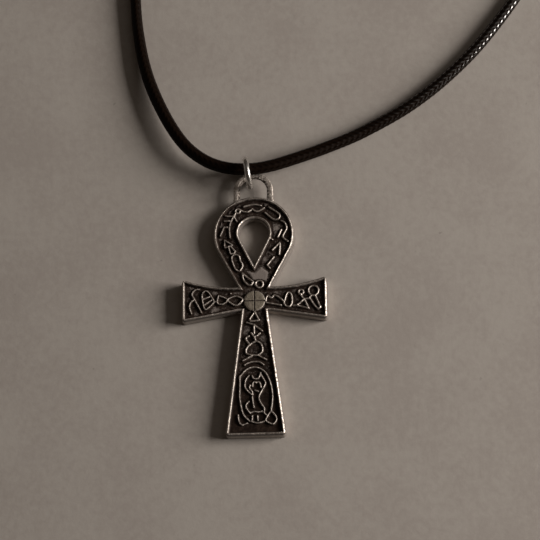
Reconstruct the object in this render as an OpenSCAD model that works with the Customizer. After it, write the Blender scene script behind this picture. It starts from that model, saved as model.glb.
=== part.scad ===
// Ankh pendant lying face up, with its jump ring, cord loop and clasp.
// The origin is the middle of the crossing on the flat back. +Y runs from the foot to the bail.

/* [Plate] */
// Thickness from the back to the top of the border
plate_t = 2; // [1.6:0.1:3]
// Depth of the sunk ground below the border
ground_depth = 0.5; // [0.3:0.05:0.8]
// Width of the raised border
border_w = 0.45; // [0.3:0.05:0.7]
// Radius of the rounded corners at the foot and the arm ends
corner_r = 0.35; // [0.2:0.05:0.45]

/* [Loop] */
// Outer radius of the loop
loop_r = 6.5; // [6:0.1:7.5]
// Distance from the crossing to the loop's centre
loop_y = 11.35; // [11:0.05:13]
// Width across the loop's sides where they meet the arms
neck_w = 5.3; // [4.6:0.1:6]
// Width of the band between the loop's outer edge and the hole
band_w = 4.1; // [3.8:0.1:4.6]
// How far the hole's centre lies beyond the loop's centre
hole_rise = 0.3; // [0:0.05:0.5]
// Angle between the two straight sides of the hole
hole_taper = 51; // [44:1:60]

/* [Arms] */
// Distance from the middle to the end of an arm
arm_span = 11.65; // [10:0.05:14]
// Height of an arm at its end
arm_end_h = 7.3; // [6:0.1:8.5]
// Height of an arm at its root
arm_root_h = 4.15; // [3.6:0.05:5]
// How far the arms' middle line lies above the boss
arm_rise = 0.33; // [0:0.01:0.5]
// Dip of the arm's upper edge
arm_dip = 0.45; // [0:0.05:0.8]

/* [Stem] */
// Distance from the crossing to the foot
stem_len = 22.55; // [18:0.05:28]
// Width of the foot
foot_w = 9.65; // [8:0.05:12]
// Width of the stem under the arms
stem_root_w = 4.35; // [3.8:0.05:5]

/* [Relief] */
// Width of a raised line
line_w = 0.3; // [0.2:0.02:0.4]
// Height of a raised line above the ground
line_h = 0.36; // [0.2:0.02:0.6]
// Height of a faint line above the ground
faint_h = 0.16; // [0.08:0.02:0.2]
// Height of the smooth pad under the hole above the ground
pad_h = 0.14; // [0.06:0.02:0.2]
// Diameter of the centre boss
boss_d = 3.38; // [2.6:0.02:3.6]
// Height of the boss above the ground
boss_h = 0.4; // [0.3:0.02:0.6]
// Width of the cross cut into the boss
cross_w = 0.26; // [0.16:0.02:0.4]
// Depth of the cross cut into the boss
cross_depth = 0.16; // [0.08:0.02:0.25]

/* [Bail] */
// Radius of the bail's middle line
bail_r = 2.7; // [2.4:0.05:3.2]
// Width of the bail seen from the front
bail_w = 1; // [0.7:0.05:1.2]
// Thickness of the bail from back to front
bail_t = 0.75; // [0.5:0.05:1]
// How far the arch's centre stands beyond the loop's top edge
bail_rise = 1.05; // [0.7:0.05:1.4]

/* [Jump ring] */
// Inner diameter of the jump ring
ring_id = 3.6; // [3.5:0.02:4.4]
// Wire diameter of the jump ring
ring_wire = 0.96; // [0.8:0.02:1]
// How far the ring stands left of the middle
ring_side = 0.87; // [0.5:0.01:1.2]
// Turn of the ring about the upright
ring_turn = 8.4; // [0:0.2:14]

/* [Cord] */
// Diameter of the cord
cord_d = 2; // [1.6:0.1:2]

/* [Clasp] */
// Diameter of the barrel clasp
clasp_d = 4; // [3.6:0.1:4]
// Length of the barrel clasp
clasp_len = 12; // [11:0.5:14]
// Depth of the socket in each end of the clasp
socket_depth = 3; // [2:0.5:4]

/* [Clearances] */
// Clearance between the bail and the inside of the jump ring
bail_clear = 0.06; // [0.04:0.01:0.1]
// Gap between the bail's underside and the wire that passes beneath it
wire_gap = 0.2; // [0.15:0.01:0.3]
// Clearance round the cord in the clasp
socket_clear = 0.05; // [0.03:0.01:0.1]

/* [Hidden] */

GROUND_Z = plate_t - ground_depth;
ARC_STEP = 5;
CORNER_STEP = 15;
EDGE_STEPS = 8;
CURVE_STEPS = 3;
SUNK = 0.4 * ground_depth;
TALL = plate_t / 2;

// Heights of an arm's upper and lower edges at the root and at the end
ARM_TOP = [arm_rise + arm_root_h / 2, arm_rise + arm_end_h / 2];
ARM_LOW = [arm_rise - arm_root_h / 2, arm_rise - arm_end_h / 2];

// The loop's sides run from its round to the corners that it makes with the arms
NECK = [neck_w / 2, ARM_TOP[0]];
NECK_REACH = norm([NECK[0], loop_y - NECK[1]]);
LOOP_FLANK = atan2(loop_y - NECK[1], -NECK[0]) - asin(loop_r / NECK_REACH) - 90;

HOLE_R = loop_r - band_w;
HOLE_Y = loop_y + hole_rise;
HOLE_FLANK = -hole_taper / 2;

BAIL_Y = loop_y + loop_r + bail_rise;
BAIL_LOW = ring_wire + wire_gap;
BAIL_FOOT_Y = loop_y + sqrt(pow(loop_r - border_w, 2) - pow(bail_r + bail_w / 2, 2));
// The bail's feet end inside the border, this far from the plate's edge
BAIL_BITE = 0.75 * border_w;
BAIL_BEVEL = 0.2 * bail_w;
BAIL_TOP = BAIL_LOW + bail_t;

// The ring stands on edge with the bail's wire in its lower inner corner
RING_R = (ring_id + ring_wire) / 2;
RING_Z = RING_R + ring_wire / 2;
RING_BEYOND = sqrt(pow(ring_id / 2 - bail_clear, 2) - pow(RING_Z - BAIL_LOW, 2)) - bail_w / 2;
RING_Y = BAIL_Y + sqrt(pow(bail_r, 2) - pow(ring_side, 2)) + RING_BEYOND;

// The signs are drawn on three fields. A field's row counts in steps: its named size is so many steps.
LOOP_STEPS = 6.5;
LOOP_STEPS_Y = 11.35;
ARM_STEPS = 11.65;
ARM_STEPS_H = 3.65;
ARM_STEPS_Y = 0.33;
STEM_STEPS = 22.55;
STEM_STEPS_W = 4.825;

function on_loop(p) = [p[0], p[1] - LOOP_STEPS_Y] * loop_r / LOOP_STEPS + [0, loop_y];
function on_arm(p) = [
    p[0] * arm_span / ARM_STEPS,
    arm_rise + (p[1] - ARM_STEPS_Y) * arm_end_h / 2 / ARM_STEPS_H
];
function on_stem(p) = [p[0] * foot_w / 2 / STEM_STEPS_W, p[1] * stem_len / STEM_STEPS];

// How the points of a sign are joined
OPEN = 0;
OPEN_CURVE = 1;
CLOSED = 2;
CLOSED_CURVE = 3;

// Columns: how it is joined, its points
LOOP_SIGNS = [
    [OPEN_CURVE, [[-1.6, 16.2], [-0.7, 16.45], [0.2, 16.55], [1.2, 16.35]]],
    [OPEN_CURVE, [[-2.15, 15.65], [-1.6, 15.35], [-0.8, 15.35], [-0.2, 15.8]]],
    [OPEN_CURVE, [[-0.2, 15.8], [0.2, 15.45], [0.8, 15.4], [1.7, 15.9]]],
    [OPEN, [[-4.6, 14.7], [-4.1, 14.6], [-3.05, 14.65]]],
    [OPEN_CURVE, [[-2.9, 15.1], [-3.25, 14.55], [-3.75, 13.5], [-3.95, 12.2], [-3.85, 10.9]]],
    [OPEN, [[-3.2, 14.6], [-2.75, 13.7]]],
    [OPEN, [[-4.75, 13.8], [-3.8, 13.8]]],
    [OPEN, [[-5.4, 11.25], [-4.8, 12.75], [-4.2, 12.75]]],
    [CLOSED, [[-4.75, 10.5], [-3.4, 9.6], [-4.7, 9.2]]],
    [OPEN, [[-4.1, 9.3], [-3.8, 8.1], [-3.2, 8.25], [-3, 8.5], [-3.7, 9.35]]],
    [CLOSED_CURVE, [[-3.6, 7.5], [-3.1, 8], [-2.4, 7.7], [-2.2, 6.9], [-1.85, 6.1],
        [-2.3, 5.2], [-2.95, 5.45], [-3.4, 6.5]]],
    [CLOSED, [[-1.9, 4.75], [-1.2, 4.1], [-0.15, 3.25], [-0.45, 2.75], [-0.95, 2.7],
        [-1.6, 3.35], [-1.85, 4]]],
    [OPEN_CURVE, [[1.85, 15.1], [2.9, 14.1], [3.5, 13.85], [4.1, 14.1], [4.1, 14.8], [2.5, 16]]],
    [OPEN_CURVE, [[4.45, 13.6], [5, 13.25], [5.3, 12.3], [4.85, 11.4], [4.7, 10.7], [5.5, 10.05]]],
    [OPEN, [[4.45, 12.05], [3.85, 10.8]]],
    [OPEN, [[2.95, 8.6], [4.15, 9.85], [4.2, 9.2], [4.05, 7.8]]],
    [OPEN, [[3.2, 7.4], [2.1, 6.05], [2.5, 5.55]]],
    [OPEN, [[2.7, 10.65], [3, 10.4]]]
];
ARM_SIGNS = [
    [OPEN_CURVE, [[-8.8, 2.2], [-9.5, 2.1], [-10, 1.4], [-9.65, 0.6], [-9.05, -0.6], [-8.5, -1.75]]],
    [OPEN_CURVE, [[-9.6, 0.5], [-10.2, 0], [-10.4, -0.8], [-10.1, -1.85]]],
    [CLOSED_CURVE, [[-8.4, 0.9], [-8.25, 1.6], [-7.85, 1.9], [-7.4, 1.7], [-7, 1.1], [-6.5, 0.1],
        [-6.8, -0.45], [-7.7, -1.2], [-8.1, -0.9]]],
    [OPEN, [[-8.3, 0.5], [-7.15, 0.9]]],
    [OPEN, [[-8, -0.45], [-6.9, 0.3]]],
    [OPEN, [[-6.5, 0.05], [-6, 0]]],
    [CLOSED, [[-5.75, 1.05], [-4.85, 0.7], [-4.35, 0.4], [-4.45, -0.05], [-5.1, -0.45], [-5.8, -0.4],
        [-6, 0]]],
    [CLOSED_CURVE, [[-4.3, 0.3], [-3.6, 0.75], [-2.8, 0.85], [-1.9, 0.3], [-2.5, -0.5], [-3.2, -0.65],
        [-3.9, -0.2]]],
    [OPEN, [[1.75, -0.25], [1.9, 0.5], [2.15, 0.9], [2.5, 0.5], [2.85, 0.5], [3.15, 0.9], [3.75, 0.65],
        [4.6, -0.1]]],
    [OPEN, [[1.9, -0.35], [4.25, -0.85]]],
    [CLOSED_CURVE, [[5.4, 1.3], [5.05, 0.75], [4.9, 0.1], [4.7, -0.4], [5, -0.95], [5.6, -1.1],
        [5.95, -0.6], [6, 0.3], [5.85, 1]]],
    [OPEN, [[7.45, 0.95], [7.6, 0.5], [7.95, 0.05]]],
    [CLOSED, [[7.95, 0.05], [6.75, -0.95], [8.65, -1.5]]],
    [OPEN, [[6.2, -0.95], [6.9, -0.9]]],
    [OPEN, [[7.9, 0.1], [8.7, 0.2], [9.2, 0.75]]],
    [OPEN, [[8.8, 0.3], [9.55, -1], [10.1, -1.65], [10.55, -1.4], [10.1, -0.3], [9.7, 0.7]]]
];
STEM_SIGNS = [
    [CLOSED, [[0, -1.85], [-0.8, -3.1], [-0.6, -3.45], [0.7, -3.3]]],
    [OPEN, [[-1.25, -3.65], [-0.2, -4], [1.2, -5.1]]],
    [OPEN, [[-0.1, -4], [-0.1, -5.5]]],
    [OPEN, [[-0.55, -5.4], [-0.1, -6.1], [0.15, -6.8]]],
    [OPEN, [[0, -6], [0.4, -5.9], [0.8, -5.5]]],
    [OPEN_CURVE, [[-0.95, -5.95], [-1.4, -6.2], [-1.3, -6.7], [-0.85, -7.3]]],
    [CLOSED_CURVE, [[-0.75, -7.35], [0.1, -6.85], [0.8, -7.1], [1.15, -7.8], [1.15, -8.6], [0.4, -9.15],
        [-0.7, -9.1], [-1.4, -8.75], [-1.3, -8]]],
    [OPEN, [[-1.95, -10.05], [-1.2, -9.65], [-0.5, -9.3]]],
    [OPEN, [[0.5, -9.2], [1.1, -9.6], [1.8, -9.95]]],
    [OPEN_CURVE, [[-1.7, -10.8], [-0.9, -10.4], [0, -10.25], [0.75, -10.4], [1.35, -10.8]]],
    [OPEN_CURVE, [[-2.55, -12.95], [-2.1, -12.3], [-1.2, -11.45], [-0.1, -11.2], [0.9, -11.5],
        [1.8, -12.4], [2.4, -13.9], [2.7, -15.6], [2.65, -17.2], [2.45, -18.5]]],
    [OPEN_CURVE, [[-2.45, -12.7], [-2.45, -14.3], [-2.5, -16], [-2.3, -17.6], [-1.9, -19.1],
        [-1, -20.15]]],
    [CLOSED_CURVE, [[2.4, -18.7], [3.05, -19.2], [3.3, -20], [2.8, -20.7], [2, -20.45], [1.6, -20.05],
        [1.9, -19.4]]],
    [OPEN_CURVE, [[-2.75, -19.1], [-2.65, -20.1], [-2.2, -20.75], [-1.35, -20.5]]],
    [OPEN_CURVE, [[-0.5, -12.6], [-0.25, -13.1], [0.5, -13.05], [0.85, -12.15]]],
    [OPEN_CURVE, [[-1, -12.6], [-1.5, -13.3], [-1.65, -14.4], [-1.1, -15.3], [-0.6, -15.75]]],
    [OPEN_CURVE, [[0.85, -12.4], [1.35, -13.3], [1.6, -14], [1, -15.2], [0.55, -16.2], [0.85, -17.2],
        [1.4, -18.1], [1.35, -18.8], [1.75, -19.25]]],
    [OPEN, [[-0.45, -14.4], [-0.4, -13.85], [-0.15, -13.6], [0.15, -13.8]]],
    [OPEN_CURVE, [[0.2, -13.75], [0.55, -13.7], [0.8, -14], [0.9, -14.6]]],
    [OPEN_CURVE, [[-0.75, -14.2], [-0.95, -14.5], [-0.8, -14.9], [-0.5, -15.3], [-0.45, -15.8]]],
    [OPEN, [[-0.1, -15.05], [0.45, -15.25]]],
    [OPEN, [[-0.5, -16.1], [-0.4, -17], [-0.25, -17.9]]],
    [OPEN_CURVE, [[-1.05, -16.9], [-1.5, -17.5], [-1.35, -18.2], [-0.85, -18.85]]],
    [OPEN_CURVE, [[-0.75, -18.75], [-0.2, -18.6], [0.4, -18.7], [1, -18.6]]],
    [OPEN, [[-0.5, -19.3], [-0.55, -20]]],
    [OPEN, [[0.3, -19.3], [0.35, -20.05]]],
    [OPEN_CURVE, [[-0.7, -20.25], [0.4, -20.5], [1.3, -20.25]]]
];

// Columns: x, y, radius
LOOP_RINGS = [[-2.55, 15.45, 0.38], [0.8, 2.85, 0.6]];
ARM_RINGS = [[7.45, 1.3, 0.4], [9.45, 1.5, 0.82]];
ARM_DOT = [-3.78, 1.35];

// Worn marks that barely stand above the ground
FAINT_SIGNS = [
    [OPEN, [[-4, 15.25], [-3.35, 15.95]]],
    [OPEN, [[-2.8, 16.1], [-2.35, 16.55]]],
    [OPEN, [[-5.3, 13.3], [-5.2, 13.9]]],
    [OPEN, [[1.75, 16.65], [2.35, 16.3]]],
    [OPEN, [[1.8, 16.3], [2.25, 16.7]]]
];

// The smooth pad between the hole's tip and the arms
PAD = [[-1.1, 5.1], [0, 4.75], [1.1, 5.75], [2.2, 4.8], [1.9, 3.5], [1.4, 3.55], [0.5, 3.7], [-0.2, 3.7]];

// The clasp's middle and the cord's route are measured from the middle of the jump ring's hole.
CORD_FROM = [-ring_side, RING_Y];
CLASP_AT = [21, 182.4];

// The cord's route as chosen points, from the clasp's left end round to its right end.
// Columns: x, y, and the height of the cord's underside as a share of the bail's top
CORD_ROUTE = [
    [5, 180.7, 0.15], [-4, 175.5, 0], [-13, 165.5, 0], [-20, 150.5, 0], [-25, 130.5, 0],
    [-27, 108.5, 0], [-26, 86.5, 0], [-23, 65.5, 0], [-20.3, 48.5, 0], [-18.7, 36.5, 0],
    [-18, 27, 0], [-16.5, 18.8, 0.15], [-13.8, 11.6, 0.4], [-10.6, 6, 0.62], [-7.2, 2.7, 0.84],
    [-3.7, 1.1, 0.95], [0, 0.67, 0.98], [3.4, 1.1, 0.9], [7.4, 2.4, 0.67], [12.9, 4.6, 0.28],
    [18.9, 7.35, 0], [26.2, 11.5, 0], [32.9, 16.8, 0], [39.4, 23.7, 0], [47, 34.5, 0],
    [55, 49.5, 0], [62, 68.5, 0], [66.5, 90.5, 0], [67.5, 112.5, 0], [64.5, 134.5, 0],
    [57, 154.5, 0], [47.5, 169.5, 0], [37, 179.5, 0.15]
];
CORD_SIDES = 8;
CORD_RING_STEP = 6;

// Points of a round stretch about a centre
function arc(c, r, from, to, step) =
    let (n = ceil(abs(to - from) / step))
    [for (i = [0:n]) let (a = from + (to - from) * i / n) c + r * [cos(a), sin(a)]];

// A corner as a short arc between its two sides, or as it is where the radius is small
function corner(p, q, s, r) =
    let (
        u = (p - q) / norm(p - q),
        v = (s - q) / norm(s - q),
        half = acos(u * v) / 2,
        w = (u + v) / norm(u + v),
        c = q + w * r / sin(half),
        a = atan2(-w[1], -w[0]),
        turn = (u[0] * v[1] - u[1] * v[0] > 0 ? -1 : 1) * (90 - half)
    )
    r <= 0 ? [q] : arc(c, r, a - turn, a + turn, CORNER_STEP);

// A drop: round above, with straight sides that run down to the height low or to a tip
module drop(r, y, flank, low) {
    tip = y + r / sin(flank);
    foot = max(low, tip);
    x = max(0, r * cos(flank) + (y + r * sin(flank) - foot) * tan(flank));
    polygon(concat(arc([0, y], r, flank, 180 - flank, ARC_STEP), [[-x, foot], [x, foot]]));
}

// Height of the arm's upper edge at a share of its length
function arm_edge(u) = ARM_TOP[0] + (ARM_TOP[1] - ARM_TOP[0]) * u - 4 * arm_dip * u * (1 - u);

// Both arms in one outline, drawn in from the edge by an inset
module arms(inset) {
    end = arm_span - inset;
    root = neck_w / 2;
    round_r = corner_r - inset;
    edge = [for (i = [0:EDGE_STEPS - 1]) let (u = i / EDGE_STEPS)
        [root + (arm_span - root) * u, arm_edge(u) - inset]];
    low_in = [root, ARM_LOW[0] + inset];
    low_out = [end, ARM_LOW[1] + inset];
    high_out = [end, ARM_TOP[1] - inset];
    right = concat(
        corner(low_in, low_out, high_out, round_r),
        corner(low_out, high_out, edge[EDGE_STEPS - 1], round_r),
        [for (i = [1:EDGE_STEPS]) edge[EDGE_STEPS - i]]
    );
    n = len(right);
    left = [for (i = [1:n]) [-right[n - i][0], right[n - i][1]]];
    polygon(concat([[-root, low_in[1]], low_in], right, left));
}

// The stem, drawn in from the edge by an inset
module stem(inset) {
    slope = atan((foot_w - stem_root_w) / 2 / (stem_len + ARM_LOW[0]));
    side = inset / cos(slope);
    foot = [foot_w / 2 - side - inset * tan(slope), inset - stem_len];
    top = [stem_root_w / 2 - side + ARM_LOW[0] * tan(slope), 0];
    round_r = corner_r - inset;
    right = corner([0, foot[1]], foot, top, round_r);
    n = len(right);
    left = [for (i = [1:n]) [-right[n - i][0], right[n - i][1]]];
    polygon(concat(left, right, [top, [-top[0], top[1]]]));
}

module outline(inset) {
    drop(loop_r - inset, loop_y, LOOP_FLANK, 0);
    arms(inset);
    stem(inset);
}

module hole(margin) {
    drop(HOLE_R + margin, HOLE_Y, HOLE_FLANK, -stem_len);
}

// A point on a smooth curve through four chosen points, a share t of the way between the middle two
function between(a, b, c, d, t) =
    ((2 * b) + (c - a) * t + (2 * a - 5 * b + 4 * c - d) * t * t
        + (3 * b - a - 3 * c + d) * t * t * t) / 2;

function open_curve(p) =
    let (n = len(p))
    concat([for (i = [0:n - 2]) for (k = [0:CURVE_STEPS - 1])
        between(p[max(i - 1, 0)], p[i], p[i + 1], p[min(i + 2, n - 1)], k / CURVE_STEPS)], [p[n - 1]]);

function closed_curve(p) =
    let (n = len(p))
    [for (i = [0:n - 1]) for (k = [0:CURVE_STEPS - 1])
        between(p[(i + n - 1) % n], p[i], p[(i + 1) % n], p[(i + 2) % n], k / CURVE_STEPS)];

// One edge of a line: each point is moved square to the path by half the line's width
function edge(before, p, after, w) =
    let (
        u = before == p ? (after - p) / norm(after - p) : (p - before) / norm(p - before),
        v = after == p ? u : (after - p) / norm(after - p),
        d = u + v,
        m = d / norm(d)
    )
    p + w / 2 / max(0.6, m * u) * [-m[1], m[0]];

function bar(p, w) =
    let (n = len(p))
    [for (i = [0:n - 1]) edge(p[max(i - 1, 0)], p[i], p[min(i + 1, n - 1)], w)];

function band(p, w) =
    let (n = len(p))
    [for (i = [0:n - 1]) edge(p[(i + n - 1) % n], p[i], p[(i + 1) % n], w)];

// Twice the area that a closed path goes round, below zero where it runs clockwise
function round_area(p) =
    let (n = len(p))
    [for (i = [0:n - 1]) cross(p[i], p[(i + 1) % n])] * [for (i = [1:n]) 1];

// A line with blunt ends, or a closed line
module line(p, is_closed) {
    n = len(p);
    if (is_closed) {
        outward = -line_w * sign(round_area(p));
        difference() {
            polygon(band(p, outward));
            polygon(band(p, -outward));
        }
    } else {
        first = p[0] - (p[1] - p[0]) / norm(p[1] - p[0]) * line_w / 2;
        last = p[n - 1] + (p[n - 1] - p[n - 2]) / norm(p[n - 1] - p[n - 2]) * line_w / 2;
        left = bar(p, line_w);
        right = bar(p, -line_w);
        polygon(concat([first], left, [last], [for (i = [1:n]) right[n - i]]));
    }
}

module sign(joined, p) {
    line(joined == OPEN_CURVE ? open_curve(p) : joined == CLOSED_CURVE ? closed_curve(p) : p,
        joined == CLOSED || joined == CLOSED_CURVE);
}

module round_sign(p, r) {
    translate(p) difference() {
        circle(r = r + line_w / 2, $fn = 48);
        circle(r = r - line_w / 2, $fn = 48);
    }
}

// All raised lines in one flat drawing
module drawn_signs() {
    for (s = LOOP_SIGNS) sign(s[0], [for (p = s[1]) on_loop(p)]);
    for (s = ARM_SIGNS) sign(s[0], [for (p = s[1]) on_arm(p)]);
    for (s = STEM_SIGNS) sign(s[0], [for (p = s[1]) on_stem(p)]);
    for (s = LOOP_RINGS) round_sign(on_loop([s[0], s[1]]), s[2] * loop_r / LOOP_STEPS);
    for (s = ARM_RINGS) round_sign(on_arm([s[0], s[1]]), s[2] * arm_end_h / 2 / ARM_STEPS_H);
    translate(on_arm(ARM_DOT)) circle(d = line_w, $fn = 24);
}

module faint_signs() {
    for (s = FAINT_SIGNS) sign(s[0], [for (p = s[1]) on_loop(p)]);
}

// The lines end in the middle of the border, so none reaches past the plate or into the hole
module signs() {
    intersection() {
        drawn_signs();
        difference() {
            outline(border_w / 2);
            hole(border_w / 2);
        }
    }
}

// Lifts a flat drawing off the ground, with its base sunk in the plate
module raised(h) {
    translate([0, 0, GROUND_Z - SUNK]) linear_extrude(h + SUNK) children();
}

module boss() {
    difference() {
        translate([0, 0, GROUND_Z - SUNK]) cylinder(h = SUNK + boss_h, d = boss_d, $fn = 96);
        translate([0, 0, GROUND_Z + boss_h - cross_depth + TALL / 2]) {
            cube([boss_d + TALL, cross_w, TALL], center = true);
            cube([cross_w, boss_d + TALL, TALL], center = true);
        }
    }
}

// The bail's section: a bar with bevelled edges, at a distance from the arch's centre
module bail_section() {
    x = bail_w / 2;
    z = bail_t / 2;
    b = BAIL_BEVEL;
    translate([bail_r, BAIL_LOW + z]) polygon([
        [-x + b, -z], [x - b, -z], [x, -z + b], [x, z - b],
        [x - b, z], [-x + b, z], [-x, z - b], [-x, -z + b]
    ]);
}

module bail() {
    difference() {
        translate([0, BAIL_Y, 0]) {
            rotate_extrude(angle = 180, $fn = 96) bail_section();
            for (side_x = [0, -2 * bail_r]) {
                translate([side_x, 0, 0]) rotate([90, 0, 0])
                    linear_extrude(BAIL_Y - BAIL_FOOT_Y) bail_section();
            }
        }
        linear_extrude(plate_t + TALL) drop(loop_r - BAIL_BITE, loop_y, LOOP_FLANK, 0);
    }
}

module ankh() {
    color("silver") union() {
        difference() {
            linear_extrude(plate_t) outline(0);
            translate([0, 0, GROUND_Z]) linear_extrude(TALL) difference() {
                outline(border_w);
                hole(border_w);
            }
            translate([0, 0, -TALL]) linear_extrude(plate_t + 2 * TALL) hole(0);
        }
        raised(line_h) signs();
        raised(faint_h) faint_signs();
        raised(pad_h) polygon([for (p = PAD) on_loop(p)]);
        boss();
        bail();
    }
}

module jump_ring() {
    color("gainsboro")
        translate([-ring_side, RING_Y, RING_Z]) rotate([0, 90, ring_turn])
            rotate_extrude($fn = 96) translate([RING_R, 0]) circle(d = ring_wire, $fn = 48);
}

// A point of the cord's straight end, at a distance from the clasp's middle
function clasp_point(reach) =
    [CORD_FROM[0] + CLASP_AT[0] + reach, CORD_FROM[1] + CLASP_AT[1], clasp_d / 2];

// The whole route: out of one socket, round the neck and into the other socket
CLASP_IN = clasp_len / 2 - socket_depth + socket_clear;
CLASP_OUT = clasp_len / 2 + cord_d;
WHOLE_ROUTE = concat(
    [clasp_point(-CLASP_IN), clasp_point(-CLASP_OUT)],
    [for (p = CORD_ROUTE)
        [CORD_FROM[0] + p[0], CORD_FROM[1] + p[1], p[2] * BAIL_TOP + cord_d / 2]],
    [clasp_point(CLASP_OUT), clasp_point(CLASP_IN)]
);

// The cord never sinks below the surface that it lies on
function lying(p) = [p[0], p[1], max(p[2], cord_d / 2)];

// The route with more points on its long stretches
function route_points(p) =
    let (n = len(p))
    concat([for (i = [0:n - 2])
        let (m = max(1, round(norm(p[i + 1] - p[i]) / CORD_RING_STEP)))
        for (k = [0:m - 1])
            lying(between(p[max(i - 1, 0)], p[i], p[i + 1], p[min(i + 2, n - 1)], k / m))],
        [p[n - 1]]);

// One ring of points round the route, square to it
function cord_ring(before, p, after) =
    let (
        t = (after - before) / norm(after - before),
        s = cross(t, [0, 0, 1]),
        side = s / norm(s),
        up = cross(side, t)
    )
    [for (k = [0:CORD_SIDES - 1]) let (a = 360 * k / CORD_SIDES)
        p + cord_d / 2 * (cos(a) * side + sin(a) * up)];

module cord() {
    p = route_points(WHOLE_ROUTE);
    n = len(p);
    m = CORD_SIDES;
    rings = [for (i = [0:n - 1]) cord_ring(p[max(i - 1, 0)], p[i], p[min(i + 1, n - 1)])];
    sides = [for (i = [0:n - 2]) for (k = [0:m - 1])
        [i * m + k, (i + 1) * m + k, (i + 1) * m + (k + 1) % m, i * m + (k + 1) % m]];
    ends = [[for (k = [0:m - 1]) k], [for (k = [1:m]) (n - 1) * m + m - k]];
    color("black") polyhedron([for (ring = rings) for (q = ring) q], concat(sides, ends));
}

module clasp() {
    color("darkgray") translate(clasp_point(0)) rotate([0, 90, 0])
        difference() {
            cylinder(h = clasp_len, d = clasp_d, center = true, $fn = 64);
            for (end = [-1, 1]) {
                translate([0, 0, end * (clasp_len - socket_depth + TALL) / 2])
                    cylinder(h = socket_depth + TALL, d = cord_d + 2 * socket_clear, center = true,
                        $fn = 48);
            }
        }
}

ankh();
jump_ring();
cord();
clasp();
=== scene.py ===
"""An ankh pendant on its braided cord, dressed for a studio picture.

Lengths are in millimetres, as in the solid model, until a mesh is written in metres. The solid model gives
each piece its place, and this file gives it its finished surface and its finish.
"""

import logging
import math
from dataclasses import dataclass
from enum import Enum
from typing import Any, Optional, Sequence, Union

import bpy
import numpy as np
from mathutils import Matrix, Vector
from mathutils.geometry import delaunay_2d_cdt


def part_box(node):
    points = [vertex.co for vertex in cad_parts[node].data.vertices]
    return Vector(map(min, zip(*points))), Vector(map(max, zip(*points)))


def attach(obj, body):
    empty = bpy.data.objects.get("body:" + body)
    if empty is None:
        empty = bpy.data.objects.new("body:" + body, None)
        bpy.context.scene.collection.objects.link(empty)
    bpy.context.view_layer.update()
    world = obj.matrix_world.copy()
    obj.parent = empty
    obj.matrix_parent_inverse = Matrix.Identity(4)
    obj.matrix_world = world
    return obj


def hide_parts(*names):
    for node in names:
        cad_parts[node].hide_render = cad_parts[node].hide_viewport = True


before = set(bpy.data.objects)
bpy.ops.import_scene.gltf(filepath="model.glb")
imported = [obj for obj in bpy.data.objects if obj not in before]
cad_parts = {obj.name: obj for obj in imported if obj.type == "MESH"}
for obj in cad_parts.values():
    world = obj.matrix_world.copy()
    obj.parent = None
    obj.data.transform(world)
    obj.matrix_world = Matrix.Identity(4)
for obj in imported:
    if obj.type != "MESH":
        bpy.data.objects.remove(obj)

MM = 0.001
BODY = "root"
Array = np.ndarray
Colour = tuple[float, float, float]
Place = tuple[float, float, float]
Band = tuple[float, float]
log = logging.getLogger("ankh_pendant")

# The ring's wire, the room between it and the bail above it, and the bail's thickness
RING_WIRE = 0.96
WIRE_GAP = 0.2
BAIL_T = 0.75
BAIL_TOP = RING_WIRE + WIRE_GAP + BAIL_T


class Join(Enum):
    """How the points of a raised sign are joined."""

    OPEN = "straight lines with two ends"
    OPEN_CURVE = "a smooth curve with two ends"
    CLOSED = "straight lines that come round to their start"
    CLOSED_CURVE = "a smooth curve that comes round to its start"


# The raised signs, as in the solid model. Columns: how a sign is joined, its points
LOOP_SIGNS = [
    (Join.OPEN_CURVE, [(-1.6, 16.2), (-0.7, 16.45), (0.2, 16.55), (1.2, 16.35)]),
    (Join.OPEN_CURVE, [(-2.15, 15.65), (-1.6, 15.35), (-0.8, 15.35), (-0.2, 15.8)]),
    (Join.OPEN_CURVE, [(-0.2, 15.8), (0.2, 15.45), (0.8, 15.4), (1.7, 15.9)]),
    (Join.OPEN, [(-4.6, 14.7), (-4.1, 14.6), (-3.05, 14.65)]),
    (Join.OPEN_CURVE, [(-2.9, 15.1), (-3.25, 14.55), (-3.75, 13.5), (-3.95, 12.2), (-3.85, 10.9)]),
    (Join.OPEN, [(-3.2, 14.6), (-2.75, 13.7)]),
    (Join.OPEN, [(-4.75, 13.8), (-3.8, 13.8)]),
    (Join.OPEN, [(-5.4, 11.25), (-4.8, 12.75), (-4.2, 12.75)]),
    (Join.CLOSED, [(-4.75, 10.5), (-3.4, 9.6), (-4.7, 9.2)]),
    (Join.OPEN, [(-4.1, 9.3), (-3.8, 8.1), (-3.2, 8.25), (-3, 8.5), (-3.7, 9.35)]),
    (Join.CLOSED_CURVE, [(-3.6, 7.5), (-3.1, 8), (-2.4, 7.7), (-2.2, 6.9), (-1.85, 6.1),
                         (-2.3, 5.2), (-2.95, 5.45), (-3.4, 6.5)]),
    (Join.CLOSED, [(-1.9, 4.75), (-1.2, 4.1), (-0.15, 3.25), (-0.45, 2.75), (-0.95, 2.7),
                   (-1.6, 3.35), (-1.85, 4)]),
    (Join.OPEN_CURVE, [(1.85, 15.1), (2.9, 14.1), (3.5, 13.85), (4.1, 14.1), (4.1, 14.8), (2.5, 16)]),
    (Join.OPEN_CURVE, [(4.45, 13.6), (5, 13.25), (5.3, 12.3), (4.85, 11.4), (4.7, 10.7), (5.5, 10.05)]),
    (Join.OPEN, [(4.45, 12.05), (3.85, 10.8)]),
    (Join.OPEN, [(2.95, 8.6), (4.15, 9.85), (4.2, 9.2), (4.05, 7.8)]),
    (Join.OPEN, [(3.2, 7.4), (2.1, 6.05), (2.5, 5.55)]),
    (Join.OPEN, [(2.7, 10.65), (3, 10.4)]),
]
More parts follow.
